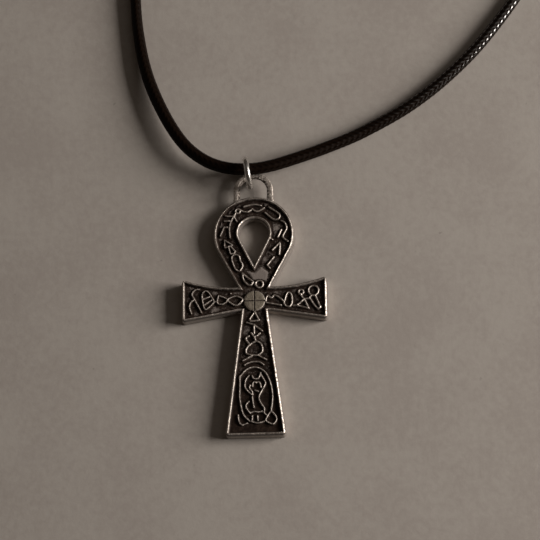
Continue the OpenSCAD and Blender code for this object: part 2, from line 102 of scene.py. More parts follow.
ARM_SIGNS = [
    (Join.OPEN_CURVE, [(-8.8, 2.2), (-9.5, 2.1), (-10, 1.4), (-9.65, 0.6), (-9.05, -0.6), (-8.5, -1.75)]),
    (Join.OPEN_CURVE, [(-9.6, 0.5), (-10.2, 0), (-10.4, -0.8), (-10.1, -1.85)]),
    (Join.CLOSED_CURVE, [(-8.4, 0.9), (-8.25, 1.6), (-7.85, 1.9), (-7.4, 1.7), (-7, 1.1), (-6.5, 0.1),
                         (-6.8, -0.45), (-7.7, -1.2), (-8.1, -0.9)]),
    (Join.OPEN, [(-8.3, 0.5), (-7.15, 0.9)]),
    (Join.OPEN, [(-8, -0.45), (-6.9, 0.3)]),
    (Join.OPEN, [(-6.5, 0.05), (-6, 0)]),
    (Join.CLOSED, [(-5.75, 1.05), (-4.85, 0.7), (-4.35, 0.4), (-4.45, -0.05), (-5.1, -0.45),
                   (-5.8, -0.4), (-6, 0)]),
    (Join.CLOSED_CURVE, [(-4.3, 0.3), (-3.6, 0.75), (-2.8, 0.85), (-1.9, 0.3), (-2.5, -0.5),
                         (-3.2, -0.65), (-3.9, -0.2)]),
    (Join.OPEN, [(1.75, -0.25), (1.9, 0.5), (2.15, 0.9), (2.5, 0.5), (2.85, 0.5), (3.15, 0.9),
                 (3.75, 0.65), (4.6, -0.1)]),
    (Join.OPEN, [(1.9, -0.35), (4.25, -0.85)]),
    (Join.CLOSED_CURVE, [(5.4, 1.3), (5.05, 0.75), (4.9, 0.1), (4.7, -0.4), (5, -0.95), (5.6, -1.1),
                         (5.95, -0.6), (6, 0.3), (5.85, 1)]),
    (Join.OPEN, [(7.45, 0.95), (7.6, 0.5), (7.95, 0.05)]),
    (Join.CLOSED, [(7.95, 0.05), (6.75, -0.95), (8.65, -1.5)]),
    (Join.OPEN, [(6.2, -0.95), (6.9, -0.9)]),
    (Join.OPEN, [(7.9, 0.1), (8.7, 0.2), (9.2, 0.75)]),
    (Join.OPEN, [(8.8, 0.3), (9.55, -1), (10.1, -1.65), (10.55, -1.4), (10.1, -0.3), (9.7, 0.7)]),
]
STEM_SIGNS = [
    (Join.CLOSED, [(0, -1.85), (-0.8, -3.1), (-0.6, -3.45), (0.7, -3.3)]),
    (Join.OPEN, [(-1.25, -3.65), (-0.2, -4), (1.2, -5.1)]),
    (Join.OPEN, [(-0.1, -4), (-0.1, -5.5)]),
    (Join.OPEN, [(-0.55, -5.4), (-0.1, -6.1), (0.15, -6.8)]),
    (Join.OPEN, [(0, -6), (0.4, -5.9), (0.8, -5.5)]),
    (Join.OPEN_CURVE, [(-0.95, -5.95), (-1.4, -6.2), (-1.3, -6.7), (-0.85, -7.3)]),
    (Join.CLOSED_CURVE, [(-0.75, -7.35), (0.1, -6.85), (0.8, -7.1), (1.15, -7.8), (1.15, -8.6),
                         (0.4, -9.15), (-0.7, -9.1), (-1.4, -8.75), (-1.3, -8)]),
    (Join.OPEN, [(-1.95, -10.05), (-1.2, -9.65), (-0.5, -9.3)]),
    (Join.OPEN, [(0.5, -9.2), (1.1, -9.6), (1.8, -9.95)]),
    (Join.OPEN_CURVE, [(-1.7, -10.8), (-0.9, -10.4), (0, -10.25), (0.75, -10.4), (1.35, -10.8)]),
    (Join.OPEN_CURVE, [(-2.55, -12.95), (-2.1, -12.3), (-1.2, -11.45), (-0.1, -11.2), (0.9, -11.5),
                       (1.8, -12.4), (2.4, -13.9), (2.7, -15.6), (2.65, -17.2), (2.45, -18.5)]),
    (Join.OPEN_CURVE, [(-2.45, -12.7), (-2.45, -14.3), (-2.5, -16), (-2.3, -17.6), (-1.9, -19.1),
                       (-1, -20.15)]),
    (Join.CLOSED_CURVE, [(2.4, -18.7), (3.05, -19.2), (3.3, -20), (2.8, -20.7), (2, -20.45),
                         (1.6, -20.05), (1.9, -19.4)]),
    (Join.OPEN_CURVE, [(-2.75, -19.1), (-2.65, -20.1), (-2.2, -20.75), (-1.35, -20.5)]),
    (Join.OPEN_CURVE, [(-0.5, -12.6), (-0.25, -13.1), (0.5, -13.05), (0.85, -12.15)]),
    (Join.OPEN_CURVE, [(-1, -12.6), (-1.5, -13.3), (-1.65, -14.4), (-1.1, -15.3), (-0.6, -15.75)]),
    (Join.OPEN_CURVE, [(0.85, -12.4), (1.35, -13.3), (1.6, -14), (1, -15.2), (0.55, -16.2),
                       (0.85, -17.2), (1.4, -18.1), (1.35, -18.8), (1.75, -19.25)]),
    (Join.OPEN, [(-0.45, -14.4), (-0.4, -13.85), (-0.15, -13.6), (0.15, -13.8)]),
    (Join.OPEN_CURVE, [(0.2, -13.75), (0.55, -13.7), (0.8, -14), (0.9, -14.6)]),
    (Join.OPEN_CURVE, [(-0.75, -14.2), (-0.95, -14.5), (-0.8, -14.9), (-0.5, -15.3), (-0.45, -15.8)]),
    (Join.OPEN, [(-0.1, -15.05), (0.45, -15.25)]),
    (Join.OPEN, [(-0.5, -16.1), (-0.4, -17), (-0.25, -17.9)]),
    (Join.OPEN_CURVE, [(-1.05, -16.9), (-1.5, -17.5), (-1.35, -18.2), (-0.85, -18.85)]),
    (Join.OPEN_CURVE, [(-0.75, -18.75), (-0.2, -18.6), (0.4, -18.7), (1, -18.6)]),
    (Join.OPEN, [(-0.5, -19.3), (-0.55, -20)]),
    (Join.OPEN, [(0.3, -19.3), (0.35, -20.05)]),
    (Join.OPEN_CURVE, [(-0.7, -20.25), (0.4, -20.5), (1.3, -20.25)]),
]

# Round signs, the last of them a dot. Columns: x, y, radius
SIGN_RINGS = [
    (-2.55, 15.45, 0.38), (0.8, 2.85, 0.6), (7.45, 1.3, 0.4), (9.45, 1.5, 0.82), (-3.78, 1.35, 0.02),
]

# Worn marks that barely stand above the ground
FAINT_SIGNS = [
    (Join.OPEN, [(-4, 15.25), (-3.35, 15.95)]),
    (Join.OPEN, [(-2.8, 16.1), (-2.35, 16.55)]),
    (Join.OPEN, [(-5.3, 13.3), (-5.2, 13.9)]),
    (Join.OPEN, [(1.75, 16.65), (2.35, 16.3)]),
    (Join.OPEN, [(1.8, 16.3), (2.25, 16.7)]),
]

# The smooth pad between the hole's tip and the arms
PAD = [(-1.1, 5.1), (0, 4.75), (1.1, 5.75), (2.2, 4.8), (1.9, 3.5), (1.4, 3.55), (0.5, 3.7), (-0.2, 3.7)]

# Places where the dark colour of the ground is worn away. Columns: x, y, radius, how far it is worn
WORN_PLACES = [
    (0.9, 4.6, 1.3, 0.9), (3.6, 12.4, 0.75, 0.8), (3.55, 11.4, 0.4, 0.5), (-6.4, -1.55, 0.85, 0.8),
    (-6.4, 1.75, 0.9, 0.55), (-9.9, 2.7, 0.7, 0.6), (1.65, 7.1, 0.55, 0.6), (3.3, 7.1, 0.7, 0.55),
    (1.45, -6.2, 0.75, 0.55), (1.3, -3.2, 0.5, 0.5), (3.6, 1.6, 0.7, 0.5), (6.4, 1.9, 0.8, 0.45),
    (-1.3, -4.9, 0.7, 0.4), (-2.6, 1.75, 0.7, 0.4), (2.6, -1.1, 0.6, 0.45), (-4.9, 14.9, 0.6, 0.5),
    (-5.1, 12.9, 0.5, 0.45), (4.75, 14.2, 0.55, 0.5), (-5.2, 10.6, 0.4, 0.45), (2.0, 16.5, 0.5, 0.4),
    (-9.2, -2.0, 0.6, 0.45), (10.6, -0.6, 0.5, 0.35), (1.5, -7.3, 0.4, 0.4), (4.1, -0.3, 0.6, 0.35),
]

# The cord's route from the clasp's left end round to its right end, as in the solid model.
# Columns: x, y, and the height of the cord's underside as a share of the bail's top
CORD_ROUTE = [
    (5, 180.7, 0.15), (-4, 175.5, 0), (-13, 165.5, 0), (-20, 150.5, 0), (-25, 130.5, 0),
    (-27, 108.5, 0), (-26, 86.5, 0), (-23, 65.5, 0), (-20.3, 48.5, 0), (-18.7, 36.5, 0),
    (-18, 27, 0), (-16.5, 18.8, 0.15), (-13.8, 11.6, 0.4), (-10.6, 6, 0.62), (-7.2, 2.7, 0.84),
    (-3.7, 1.1, 0.95), (0, 0.67, 0.98), (3.4, 1.1, 0.9), (7.4, 2.4, 0.67), (12.9, 4.6, 0.28),
    (18.9, 7.35, 0), (26.2, 11.5, 0), (32.9, 16.8, 0), (39.4, 23.7, 0), (47, 34.5, 0),
    (55, 49.5, 0), (62, 68.5, 0), (66.5, 90.5, 0), (67.5, 112.5, 0), (64.5, 134.5, 0),
    (57, 154.5, 0), (47.5, 169.5, 0), (37, 179.5, 0.15),
]

# The cord's section where it was pressed flatter or turned on its edge.
# Columns: distance along the cord, half width, half height, how far the strands stand out
CORD_SECTIONS = [
    (0, 0.98, 0.98, 1), (120, 0.85, 0.98, 0.6), (150, 0.77, 1.0, 0.5), (175, 0.88, 0.98, 0.5),
    (190, 1.03, 0.94, 0.6), (205, 1.0, 0.94, 0.7), (225, 1.0, 0.95, 1.0), (245, 1.0, 0.94, 2.4),
    (262, 0.96, 0.97, 3.0), (275, 0.88, 0.98, 3.0), (320, 0.97, 0.97, 1), (460, 0.98, 0.98, 1),
]


def smooth(value: Array, low: float, high: float) -> Array:
    """How far a value has gone from low to high, eased at both ends: t t (3 - 2 t) of its clipped share t."""
    share = np.clip((value - low) / (high - low), 0, 1)
    return share * share * (3 - 2 * share)


def higher(first: Array, second: Array, blend: float) -> Array:
    """The larger of two heights with a fillet where they cross.

    Within the blend width of each other, h is the share of it that is left, and the result is the larger of
    the two plus a quarter of the blend times h squared.

    Args:
        first: one height at each point.
        second: the other height at each point.
        blend: the difference of height over which the fillet runs.

    Returns:
        The blended height at each point.
    """
    left = np.maximum(blend - np.abs(first - second), 0) / blend
    return np.maximum(first, second) + left * left * blend / 4


def ripple(points: Array, size: float, seed: int, waves: int = 18) -> Array:
    """A smooth random field, mostly from -1 to 1: the sum of plane waves in random directions.

    Args:
        points: the places, one row each.
        size: the wave length in millimetres.
        seed: the seed of the random directions.
        waves: how many waves are added.

    Returns:
        The field's value at each place.
    """
    draw = np.random.default_rng(seed)
    ways = unit(draw.normal(size=(waves, points.shape[1])))
    ways *= 2 * math.pi / size * draw.uniform(0.7, 1.4, size=(waves, 1))
    shifts = draw.uniform(0, 2 * math.pi, waves)
    return np.cos(points @ ways.T + shifts).sum(axis=1) / math.sqrt(2 * waves)


def run(start: Sequence[float], end: Sequence[float], count: int) -> Array:
    """Evenly spaced points on a straight line, its end left out."""
    share = np.arange(count)[:, None] / count
    return np.asarray(start) + (np.asarray(end) - np.asarray(start)) * share


def turn(centre: Sequence[float], radius: float, start: float, end: float, count: int) -> Array:
    """Evenly spaced points on an arc between two angles in radians, its end left out."""
    angle = start + (end - start) * np.arange(count) / count
    return np.asarray(centre) + radius * np.stack([np.cos(angle), np.sin(angle)], axis=1)


def rounded(before: Array, corner: Array, after: Array, radius: float, count: int) -> Array:
    """A corner between two straight sides as an arc that touches both.

    The arc's centre lies on the line that halves the corner, at the radius over the sine of half its angle.

    Args:
        before: a point on the side that comes in.
        corner: the sharp corner.
        after: a point on the side that goes out.
        radius: the arc's radius.
        count: how many points the arc has, both ends among them.

    Returns:
        The arc's points in order.
    """
    back = (before - corner) / np.linalg.norm(before - corner)
    on = (after - corner) / np.linalg.norm(after - corner)
    half = math.acos(float(np.clip(back @ on, -1, 1))) / 2
    middle = (back + on) / np.linalg.norm(back + on)
    centre = corner + middle * radius / math.sin(half)
    facing = math.atan2(-middle[1], -middle[0])
    swing = (math.pi / 2 - half) * (-1 if back[0] * on[1] - back[1] * on[0] > 0 else 1)
    angle = facing + swing * np.linspace(-1, 1, count)
    return centre + radius * np.stack([np.cos(angle), np.sin(angle)], axis=1)


def through(points: Array, closed: bool, steps: int) -> Array:
    """A smooth curve through chosen points: each stretch is the cubic that the four points round it give.

    Args:
        points: the chosen points, one row each.
        closed: whether the curve comes round to its start.
        steps: how many points each stretch gets.

    Returns:
        The curve's points. A closed curve doesn't repeat its start.
    """
    count = len(points)
    stretches = count if closed else count - 1
    at = np.arange(stretches)
    pick = (lambda k: points[k % count]) if closed else (lambda k: points[np.clip(k, 0, count - 1)])
    a, b, c, d = (pick(at + k)[:, None, :] for k in (-1, 0, 1, 2))
    t = (np.arange(steps) / steps)[None, :, None]
    curve = (2 * b + (c - a) * t + (2 * a - 5 * b + 4 * c - d) * t**2 + (3 * b - a - 3 * c + d) * t**3) / 2
    curve = curve.reshape(-1, points.shape[1])
    return curve if closed else np.vstack([curve, points[-1:]])


def evenly(points: Array, spacing: float) -> Array:
    """Points at even distances along a path, both of its ends among them.

    Args:
        points: the path's points in order.
        spacing: about how far apart the new points lie.

    Returns:
        The new points.
    """
    gone = np.concatenate([[0], np.cumsum(np.linalg.norm(np.diff(points, axis=0), axis=1))])
    at = np.linspace(0, gone[-1], max(5, round(gone[-1] / spacing) + 1))
    return np.stack([np.interp(at, gone, points[:, k]) for k in range(points.shape[1])], axis=1)


def come_round(path: Array) -> Array:
    """A path with its start repeated at its end."""
    return np.vstack([path, path[:1]])


def circle(count: int) -> Array:
    """Evenly spaced angles once round, in radians."""
    return 2 * math.pi * np.arange(count) / count


def unit(vectors: Array) -> Array:
    """Vectors brought to a length of one, one row each."""
    return vectors / np.linalg.norm(vectors, axis=1, keepdims=True)


def sideways(path: Array) -> Array:
    """Unit vectors square to a flat path at each of its points."""
    along = unit(np.gradient(path, axis=0))
    return np.stack([-along[:, 1], along[:, 0]], axis=1)


def to_path(points: Array, path: Array) -> Array:
    """Distance from each point to a path of straight pieces: the least of those to its pieces.

    Args:
        points: the places, with x and y.
        path: the path's points in order.

    Returns:
        The distance for each place.
    """
    start, piece = path[:-1], np.diff(path, axis=0)
    length = np.maximum((piece**2).sum(axis=1), 1e-12)
    offset = points[:, None, :] - start[None]
    share = np.clip((offset * piece[None]).sum(axis=2) / length, 0, 1)
    return np.sqrt(((offset - share[..., None] * piece[None]) ** 2).sum(axis=2).min(axis=1))


def thinned(points: Array, spacing: float) -> Array:
    """One point from each cell of a square grid, the first that falls there.

    Args:
        points: the points, with x and y.
        spacing: the width of a cell.

    Returns:
        The points that are kept, in their order.
    """
    cells = np.floor(points / spacing).astype(np.int64)
    _, first = np.unique(cells, axis=0, return_index=True)
    return points[np.sort(first)]


class Fabric:
    """A closed surface in the making: sheets of points, and faces that name the points by number."""

    def __init__(self) -> None:
        """Starts with no points and no faces."""
        self.points: list[Array] = []
        self.faces: list[Array] = []
        self.count = 0

    def place(self, points: Array) -> Array:
        """Adds points.

        Args:
            points: points in any layout, with x, y and z last.

        Returns:
            Their numbers in the same layout.
        """
        flat = points.reshape(-1, 3)
        self.points.append(flat)
        self.count += len(flat)
        return np.arange(self.count - len(flat), self.count).reshape(points.shape[:-1])

    def weave(self, numbers: Array) -> None:
        """Adds the four-cornered faces of a grid of point numbers."""
        corners = [numbers[:-1, :-1], numbers[1:, :-1], numbers[1:, 1:], numbers[:-1, 1:]]
        self.faces.append(np.stack(corners, axis=-1).reshape(-1, 4))

    def weave_round(self, numbers: Array) -> None:
        """Adds the faces of a grid whose last row meets its first."""
        self.weave(come_round(numbers))

    def cap(self, ring: Array, middle: Array) -> None:
        """Closes a ring of point numbers with a fan to a middle point.

        Args:
            ring: the ring's point numbers in order.
            middle: the middle point's place.
        """
        centre = self.place(middle[None, :])
        fan = [ring, np.roll(ring, -1), np.repeat(centre, len(ring))]
        self.faces.append(np.stack(fan, axis=1))

    @classmethod
    def tube(cls, name: str, rings: Array) -> bpy.types.Object:
        """Weaves rings of points into a tube with a fan over each end, and writes it to a new object.

        Args:
            name: the object's name.
            rings: the points, by ring, then by place once round it, then by x, y and z.

        Returns:
            The new object, linked to the scene.
        """
        cloth = cls()
        numbers = cloth.place(rings)
        cloth.weave_round(numbers.T[::-1])
        cloth.cap(numbers[0], rings[0].mean(axis=0))
        cloth.cap(numbers[-1][::-1], rings[-1].mean(axis=0))
        return cloth.made(name)

    def made(self, name: str) -> bpy.types.Object:
        """Writes the surface in metres to a new object at the origin.

        Args:
            name: the object's name.

        Returns:
            The new object, linked to the scene.
        """
        points = np.concatenate(self.points) * MM
        corners = np.concatenate([f.ravel() for f in self.faces]).astype(np.int32)
        sizes = np.concatenate([np.full(len(f), f.shape[1]) for f in self.faces])
        starts = np.concatenate([[0], np.cumsum(sizes)[:-1]]).astype(np.int32)
        mesh = bpy.data.meshes.new(name)
        mesh.vertices.add(len(points))
        mesh.vertices.foreach_set("co", points.astype(np.float32).ravel())
        mesh.loops.add(len(corners))
        mesh.loops.foreach_set("vertex_index", corners)
        mesh.polygons.add(len(starts))
        mesh.polygons.foreach_set("loop_start", starts)
        mesh.update(calc_edges=True)
        mesh.shade_smooth()
        made = bpy.data.objects.new(name, mesh)
        bpy.context.scene.collection.objects.link(made)
        return made


def mesh_points(piece: bpy.types.Object) -> Array:
    """A piece's mesh points in millimetres.

    Args:
        piece: the piece.

    Returns:
        The points, with x, y and z.
    """
    flat = np.empty(len(piece.data.vertices) * 3, np.float32)
    piece.data.vertices.foreach_get("co", flat)
    return flat.reshape(-1, 3).astype(float) / MM


def mesh_normals(piece: bpy.types.Object) -> Array:
    """A piece's outward directions at its points.

    Args:
        piece: the piece.

    Returns:
        The directions, one row for each point.
    """
    normals = np.empty(3 * len(piece.data.vertices))
    piece.data.vertex_normals.foreach_get("vector", normals)
    return normals.reshape(-1, 3)


def record_values(piece: bpy.types.Object, name: str, values: Array) -> None:
    """Writes one number for each point of a piece's mesh, for its material to read."""
    layer = piece.data.attributes.new(name, "FLOAT", "POINT")
    layer.data.foreach_set("value", values.astype(np.float32))


class Tone:
    """A shader value with Python's arithmetic: each operator adds the Math node that does it."""

    def __init__(self, shader: "Shader", socket: bpy.types.NodeSocket) -> None:
        """Wraps an output socket of a shader's node."""
        self.shader = shader
        self.socket = socket

    def _maths(self, operation: str, *values: Any) -> "Tone":
        """Adds a Math node of an operation on values in order."""
        return self.shader.node("ShaderNodeMath", {"operation": operation}, dict(enumerate(values)))

    def __add__(self, other: Any) -> "Tone":
        """This value plus another."""
        return self._maths("ADD", self, other)

    __radd__ = __add__

    def __sub__(self, other: Any) -> "Tone":
        """This value less another."""
        return self._maths("SUBTRACT", self, other)

    def __rsub__(self, other: Any) -> "Tone":
        """Another value less this one."""
        return self._maths("SUBTRACT", other, self)

    def __mul__(self, other: Any) -> "Tone":
        """This value times another."""
        return self._maths("MULTIPLY", self, other)

    __rmul__ = __mul__

    def eased(self, low: float, high: float) -> "Tone":
        """How far this value has gone from low to high, eased at both ends, from 0 to 1."""
        settings = {"interpolation_type": "SMOOTHSTEP"}
        return self.shader.node("ShaderNodeMapRange", settings, {0: self, 1: low, 2: high})


Link = Union[Tone, float, int, Sequence[float]]


class Shader:
    """One material and the nodes that make its finish."""

    def __init__(self, name: str) -> None:
        """Makes the material with one Principled shader on its output.

        Args:
            name: the material's name.
        """
        self.material = bpy.data.materials.new(name)
        self.material.use_nodes = True
        self.tree = self.material.node_tree
        self.tree.nodes.clear()
        output = self.tree.nodes.new("ShaderNodeOutputMaterial")
        self.surface = self.tree.nodes.new("ShaderNodeBsdfPrincipled")
        self.tree.links.new(self.surface.outputs[0], output.inputs["Surface"])

    def node(self, kind: str, settings: Optional[dict[str, Any]] = None,
             sockets: Optional[dict[Union[int, str], Link]] = None, output: Union[int, str] = 0) -> Tone:
        """Adds a node of any kind.

        Args:
            kind: the node's type.
            settings: its properties, such as a Math node's operation, set before its sockets.
            sockets: values or links for its input sockets, by name or number.
            output: the output socket to wrap.

        Returns:
            The wrapped output.
        """
        made = self.tree.nodes.new(kind)
        for name, value in (settings or {}).items():
            setattr(made, name, value)
        for name, value in (sockets or {}).items():
            self._feed(made.inputs[name], value)
        return Tone(self, made.outputs[output])

    def _feed(self, socket: bpy.types.NodeSocket, value: Link) -> None:
        """Links a wrapped output to a socket, or sets the socket's own value.

        Args:
            socket: the input socket.
            value: a wrapped output, a number or a colour.
        """
        if isinstance(value, Tone):
            self.tree.links.new(value.socket, socket)
        elif socket.type == "RGBA" and len(value) == 3:
            socket.default_value = (*value, 1.0)
        else:
            socket.default_value = value

    def set(self, **values: Link) -> None:
        """Feeds the Principled shader's sockets, each named with _ for a blank."""
        for name, value in values.items():
            self._feed(self.surface.inputs[name.replace("_", " ")], value)

    def places(self, stretch: Sequence[float] = (1, 1, 1)) -> Tone:
        """Object coordinates in millimetres, stretched along the axes.

        Args:
            stretch: how far the pattern is squeezed along x, y and z.

        Returns:
            The coordinates.
        """
        where = self.node("ShaderNodeTexCoord", output="Object")
        scale = tuple(s / MM for s in stretch)
        return self.node("ShaderNodeMapping", {"vector_type": "POINT"}, {"Vector": where, "Scale": scale})

    def recorded(self, name: str) -> Tone:
        """A number that the mesh holds at each point."""
        return self.node("ShaderNodeAttribute", {"attribute_name": name}, output="Fac")

    def noise(self, where: Tone, scale: float, detail: float = 3, rough: float = 0.55) -> Tone:
        """Cloudy noise from 0 to 1, at a scale in repeats for each millimetre."""
        sockets = {"Vector": where, "Scale": scale, "Detail": detail, "Roughness": rough}
        return self.node("ShaderNodeTexNoise", None, sockets)

    def blend(self, share: Link, first: Link, second: Link) -> Tone:
        """A colour between two, at a share of the way."""
        settings = {"data_type": "RGBA"}
        return self.node("ShaderNodeMix", settings, {0: share, 6: first, 7: second}, output=2)

    def bump(self, height: Tone, strength: float, depth: float) -> Tone:
        """A bumped normal from a height from 0 to 1 that stands for a depth in millimetres."""
        sockets = {"Height": height, "Strength": strength, "Distance": depth * MM}
        return self.node("ShaderNodeBump", None, sockets)


@dataclass(frozen=True)
class AntiquedCasting:
    """Silver-tone casting: black in its sunk ground, polished on its raised lines, satin on its boss, with
    painted light and shade on its walls and lines.
    """

    silver: Colour = (0.83, 0.765, 0.705)
    tarnished: Colour = (0.54, 0.475, 0.43)
    black: Colour = (0.0135, 0.0075, 0.0050)
    umber: Colour = (0.042, 0.027, 0.020)
    # painted shade of the side walls, where their painted light is low
    shaded: Colour = (0.13, 0.115, 0.105)
    worn: Colour = (0.275, 0.24, 0.222)
    boss: Colour = (0.29, 0.255, 0.205)
    boss_dark: Colour = (0.20, 0.172, 0.135)

    def material(self) -> bpy.types.Material:
        """Builds the finish from the recorded relief, wear, boss, side and wall of each point, the relief and
        the wall carrying painted light and shade.

        Returns:
            The material.
        """
        shader = Shader("antiqued_casting")
        where = shader.places()
        relief, worn = shader.recorded("relief"), shader.recorded("worn")
        boss, wall = shader.recorded("boss"), shader.recorded("wall")
        on_wall = shader.recorded("side")
        grain = shader.noise(where, 7.0, 4, 0.62)
        cloud = shader.noise(where, 1.5, 3, 0.55)
        lump = shader.noise(where, 3.2, 3, 0.6)
        bead = shader.noise(where, 1.9, 2, 0.5)
        streak = shader.noise(shader.places((1.2, 1.2, 8)), 1.0, 3, 0.6)
        speckle = grain - 0.5

        # the recorded relief is darker towards the foot and carries painted shade on some rims and signs
        bare = (relief + speckle * 0.34 + (cloud - 0.5) * 0.2).eased(0.32, 0.66)
        scraped = (worn + (lump - 0.5) * 1.3 + speckle * 0.9).eased(0.36, 0.98)
        tarnish = (lump + speckle * 0.6).eased(0.36, 0.68)

        ground = shader.blend((cloud + speckle * 0.6).eased(0.35, 0.75), self.black, self.umber)
        ground = shader.blend(scraped, ground, self.worn)
        polished = shader.blend(tarnish, self.silver, self.tarnished)
        side = shader.blend((streak + speckle * 0.5).eased(0.3, 0.72), self.tarnished, self.silver)
        # painted light and shade on the side walls, from their recorded painted brightness
        side = shader.blend(wall, self.shaded, side)
        satin = shader.blend((lump + speckle * 0.8).eased(0.4, 0.75), self.boss, self.boss_dark)
        colour = shader.blend(on_wall, shader.blend(bare, ground, polished), side)
        colour = shader.blend(boss, colour, satin)

        metal = (bare * (1 - on_wall) + (0.15 + 0.85 * wall) * on_wall) * (1 - 0.8 * boss)
        gloss = 0.62 - 0.15 * bare + speckle * 0.24 - (0.02 + 0.3 * wall) * on_wall + 0.1 * boss
        coat = (0.12 + 0.38 * (1 - tarnish)) * metal * (1 - boss)
        normal = shader.bump(grain * (1 - 0.6 * bare) * 0.6 + bead * bare * 1.8, 0.7, 0.11)
        shader.set(Base_Color=colour, Metallic=metal, Roughness=gloss, Coat_Weight=coat, Coat_Roughness=0.14,
                   Specular_IOR_Level=0.14, Normal=normal)
        return shader.material


@dataclass(frozen=True)
class BrightWire:
    """Bright plated wire with fine drawn lines."""

    bright: Colour = (0.86, 0.85, 0.83)
    shaded: Colour = (0.60, 0.58, 0.56)

    def material(self) -> bpy.types.Material:
        """Builds the finish.

        Returns:
            The material.
        """
        shader = Shader("bright_wire")
        drawn = shader.noise(shader.places((9, 1.4, 1.4)), 1.0, 3, 0.5)
        cloud = shader.noise(shader.places(), 1.3, 2, 0.5)
        colour = shader.blend(cloud.eased(0.35, 0.75), self.bright, self.shaded)
        normal = shader.bump(drawn, 0.25, 0.02)
        shader.set(Base_Color=colour, Metallic=1.0, Roughness=0.2 + 0.16 * cloud, Normal=normal)
        return shader.material


@dataclass(frozen=True)
class WaxedBraid:
    """Black waxed braid: a low sheen on its strands, duller and browner between them."""

    black: Colour = (0.0042, 0.0022, 0.0013)
    brown: Colour = (0.010, 0.0055, 0.0035)

    def material(self) -> bpy.types.Material:
        """Builds the finish from the recorded height of the braid and how far its strands stand out.

        Returns:
            The material.
        """
        shader = Shader("waxed_braid")
        height, raised = shader.recorded("strand"), shader.recorded("raised")
        fibre = shader.noise(shader.places((5, 5, 5)), 1.0, 4, 0.6)
        cloud = shader.noise(shader.places(), 0.35, 2, 0.5)
        colour = shader.blend((height + (fibre - 0.5) * 0.4).eased(0.1, 0.9), self.brown, self.black)
        gloss = 0.42 - 0.16 * height + (cloud - 0.5) * 0.16
        shine = (height * raised).eased(0.5, 1.0)
        normal = shader.bump(height * raised * 0.6 + fibre * 0.1, 0.9, 0.28)
        shader.set(Base_Color=colour, Roughness=gloss, Specular_IOR_Level=0.07, Coat_Weight=shine,
                   Coat_Roughness=0.17, Coat_IOR=2.3, Normal=normal)
        return shader.material


@dataclass(frozen=True)
class SatinPlate:
    """Satin silver-tone plate, brushed round the barrel."""

    plate: Colour = (0.70, 0.69, 0.67)
    shaded: Colour = (0.50, 0.49, 0.47)

    def material(self) -> bpy.types.Material:
        """Builds the finish.

        Returns:
            The material.
        """
        shader = Shader("satin_plate")
        brushed = shader.noise(shader.places((14, 0.6, 0.6)), 1.0, 3, 0.6)
        cloud = shader.noise(shader.places(), 0.6, 3, 0.5)
        colour = shader.blend(cloud.eased(0.35, 0.75), self.plate, self.shaded)
        normal = shader.bump(brushed, 0.3, 0.02)
        shader.set(Base_Color=colour, Metallic=1.0, Roughness=0.26 + 0.16 * brushed, Normal=normal)
        return shader.material


@dataclass(frozen=True)
class PaleCard:
    """The pale matt surface that the pendant lies on."""

    pale: Colour = (0.51, 0.475, 0.44)
    cloudy: Colour = (0.455, 0.415, 0.385)
    speck: Colour = (0.28, 0.25, 0.23)

    def material(self) -> bpy.types.Material:
        """Builds the finish.

        Returns:
            The material.
        """
        shader = Shader("pale_card")
        where = shader.places()
        cloud = shader.noise(where, 0.06, 4, 0.6)
        fibre = shader.noise(where, 0.8, 5, 0.62)
        fleck = shader.noise(where, 0.55, 2, 0.4)
        colour = shader.blend((cloud + (fibre - 0.5) * 0.8).eased(0.3, 0.72), self.pale, self.cloudy)
        colour = shader.blend(fleck.eased(0.765, 0.80) * 0.5, colour, self.speck)
        normal = shader.bump(fibre, 0.35, 0.1)
        shader.set(Base_Color=colour, Roughness=0.86, Specular_IOR_Level=0.25, Normal=normal)
        return shader.material


@dataclass(frozen=True)
class SoftLight:
    """A soft oblong light that faces the pendant: its way there, its distance, its size and its power."""

    name: str
    way: Place
    away: float
    size: tuple[float, float]
    power: float
    colour: Colour
    aimed_at: Place = (0, -2, 0)

    def hang(self) -> None:
        """Hangs the light at its distance, turned back to the pendant."""
        lamp = bpy.data.lights.new(self.name, "AREA")
        lamp.shape = "RECTANGLE"
        lamp.size, lamp.size_y = self.size[0] * MM, self.size[1] * MM
        lamp.energy = self.power
        lamp.color = self.colour
        light = bpy.data.objects.new(self.name, lamp)
        back = Vector(self.way).normalized()
        light.location = (Vector(self.aimed_at) + back * self.away) * MM
        light.rotation_euler = back.to_track_quat("Z", "Y").to_euler()
        light.visible_camera = False
        bpy.context.scene.collection.objects.link(light)


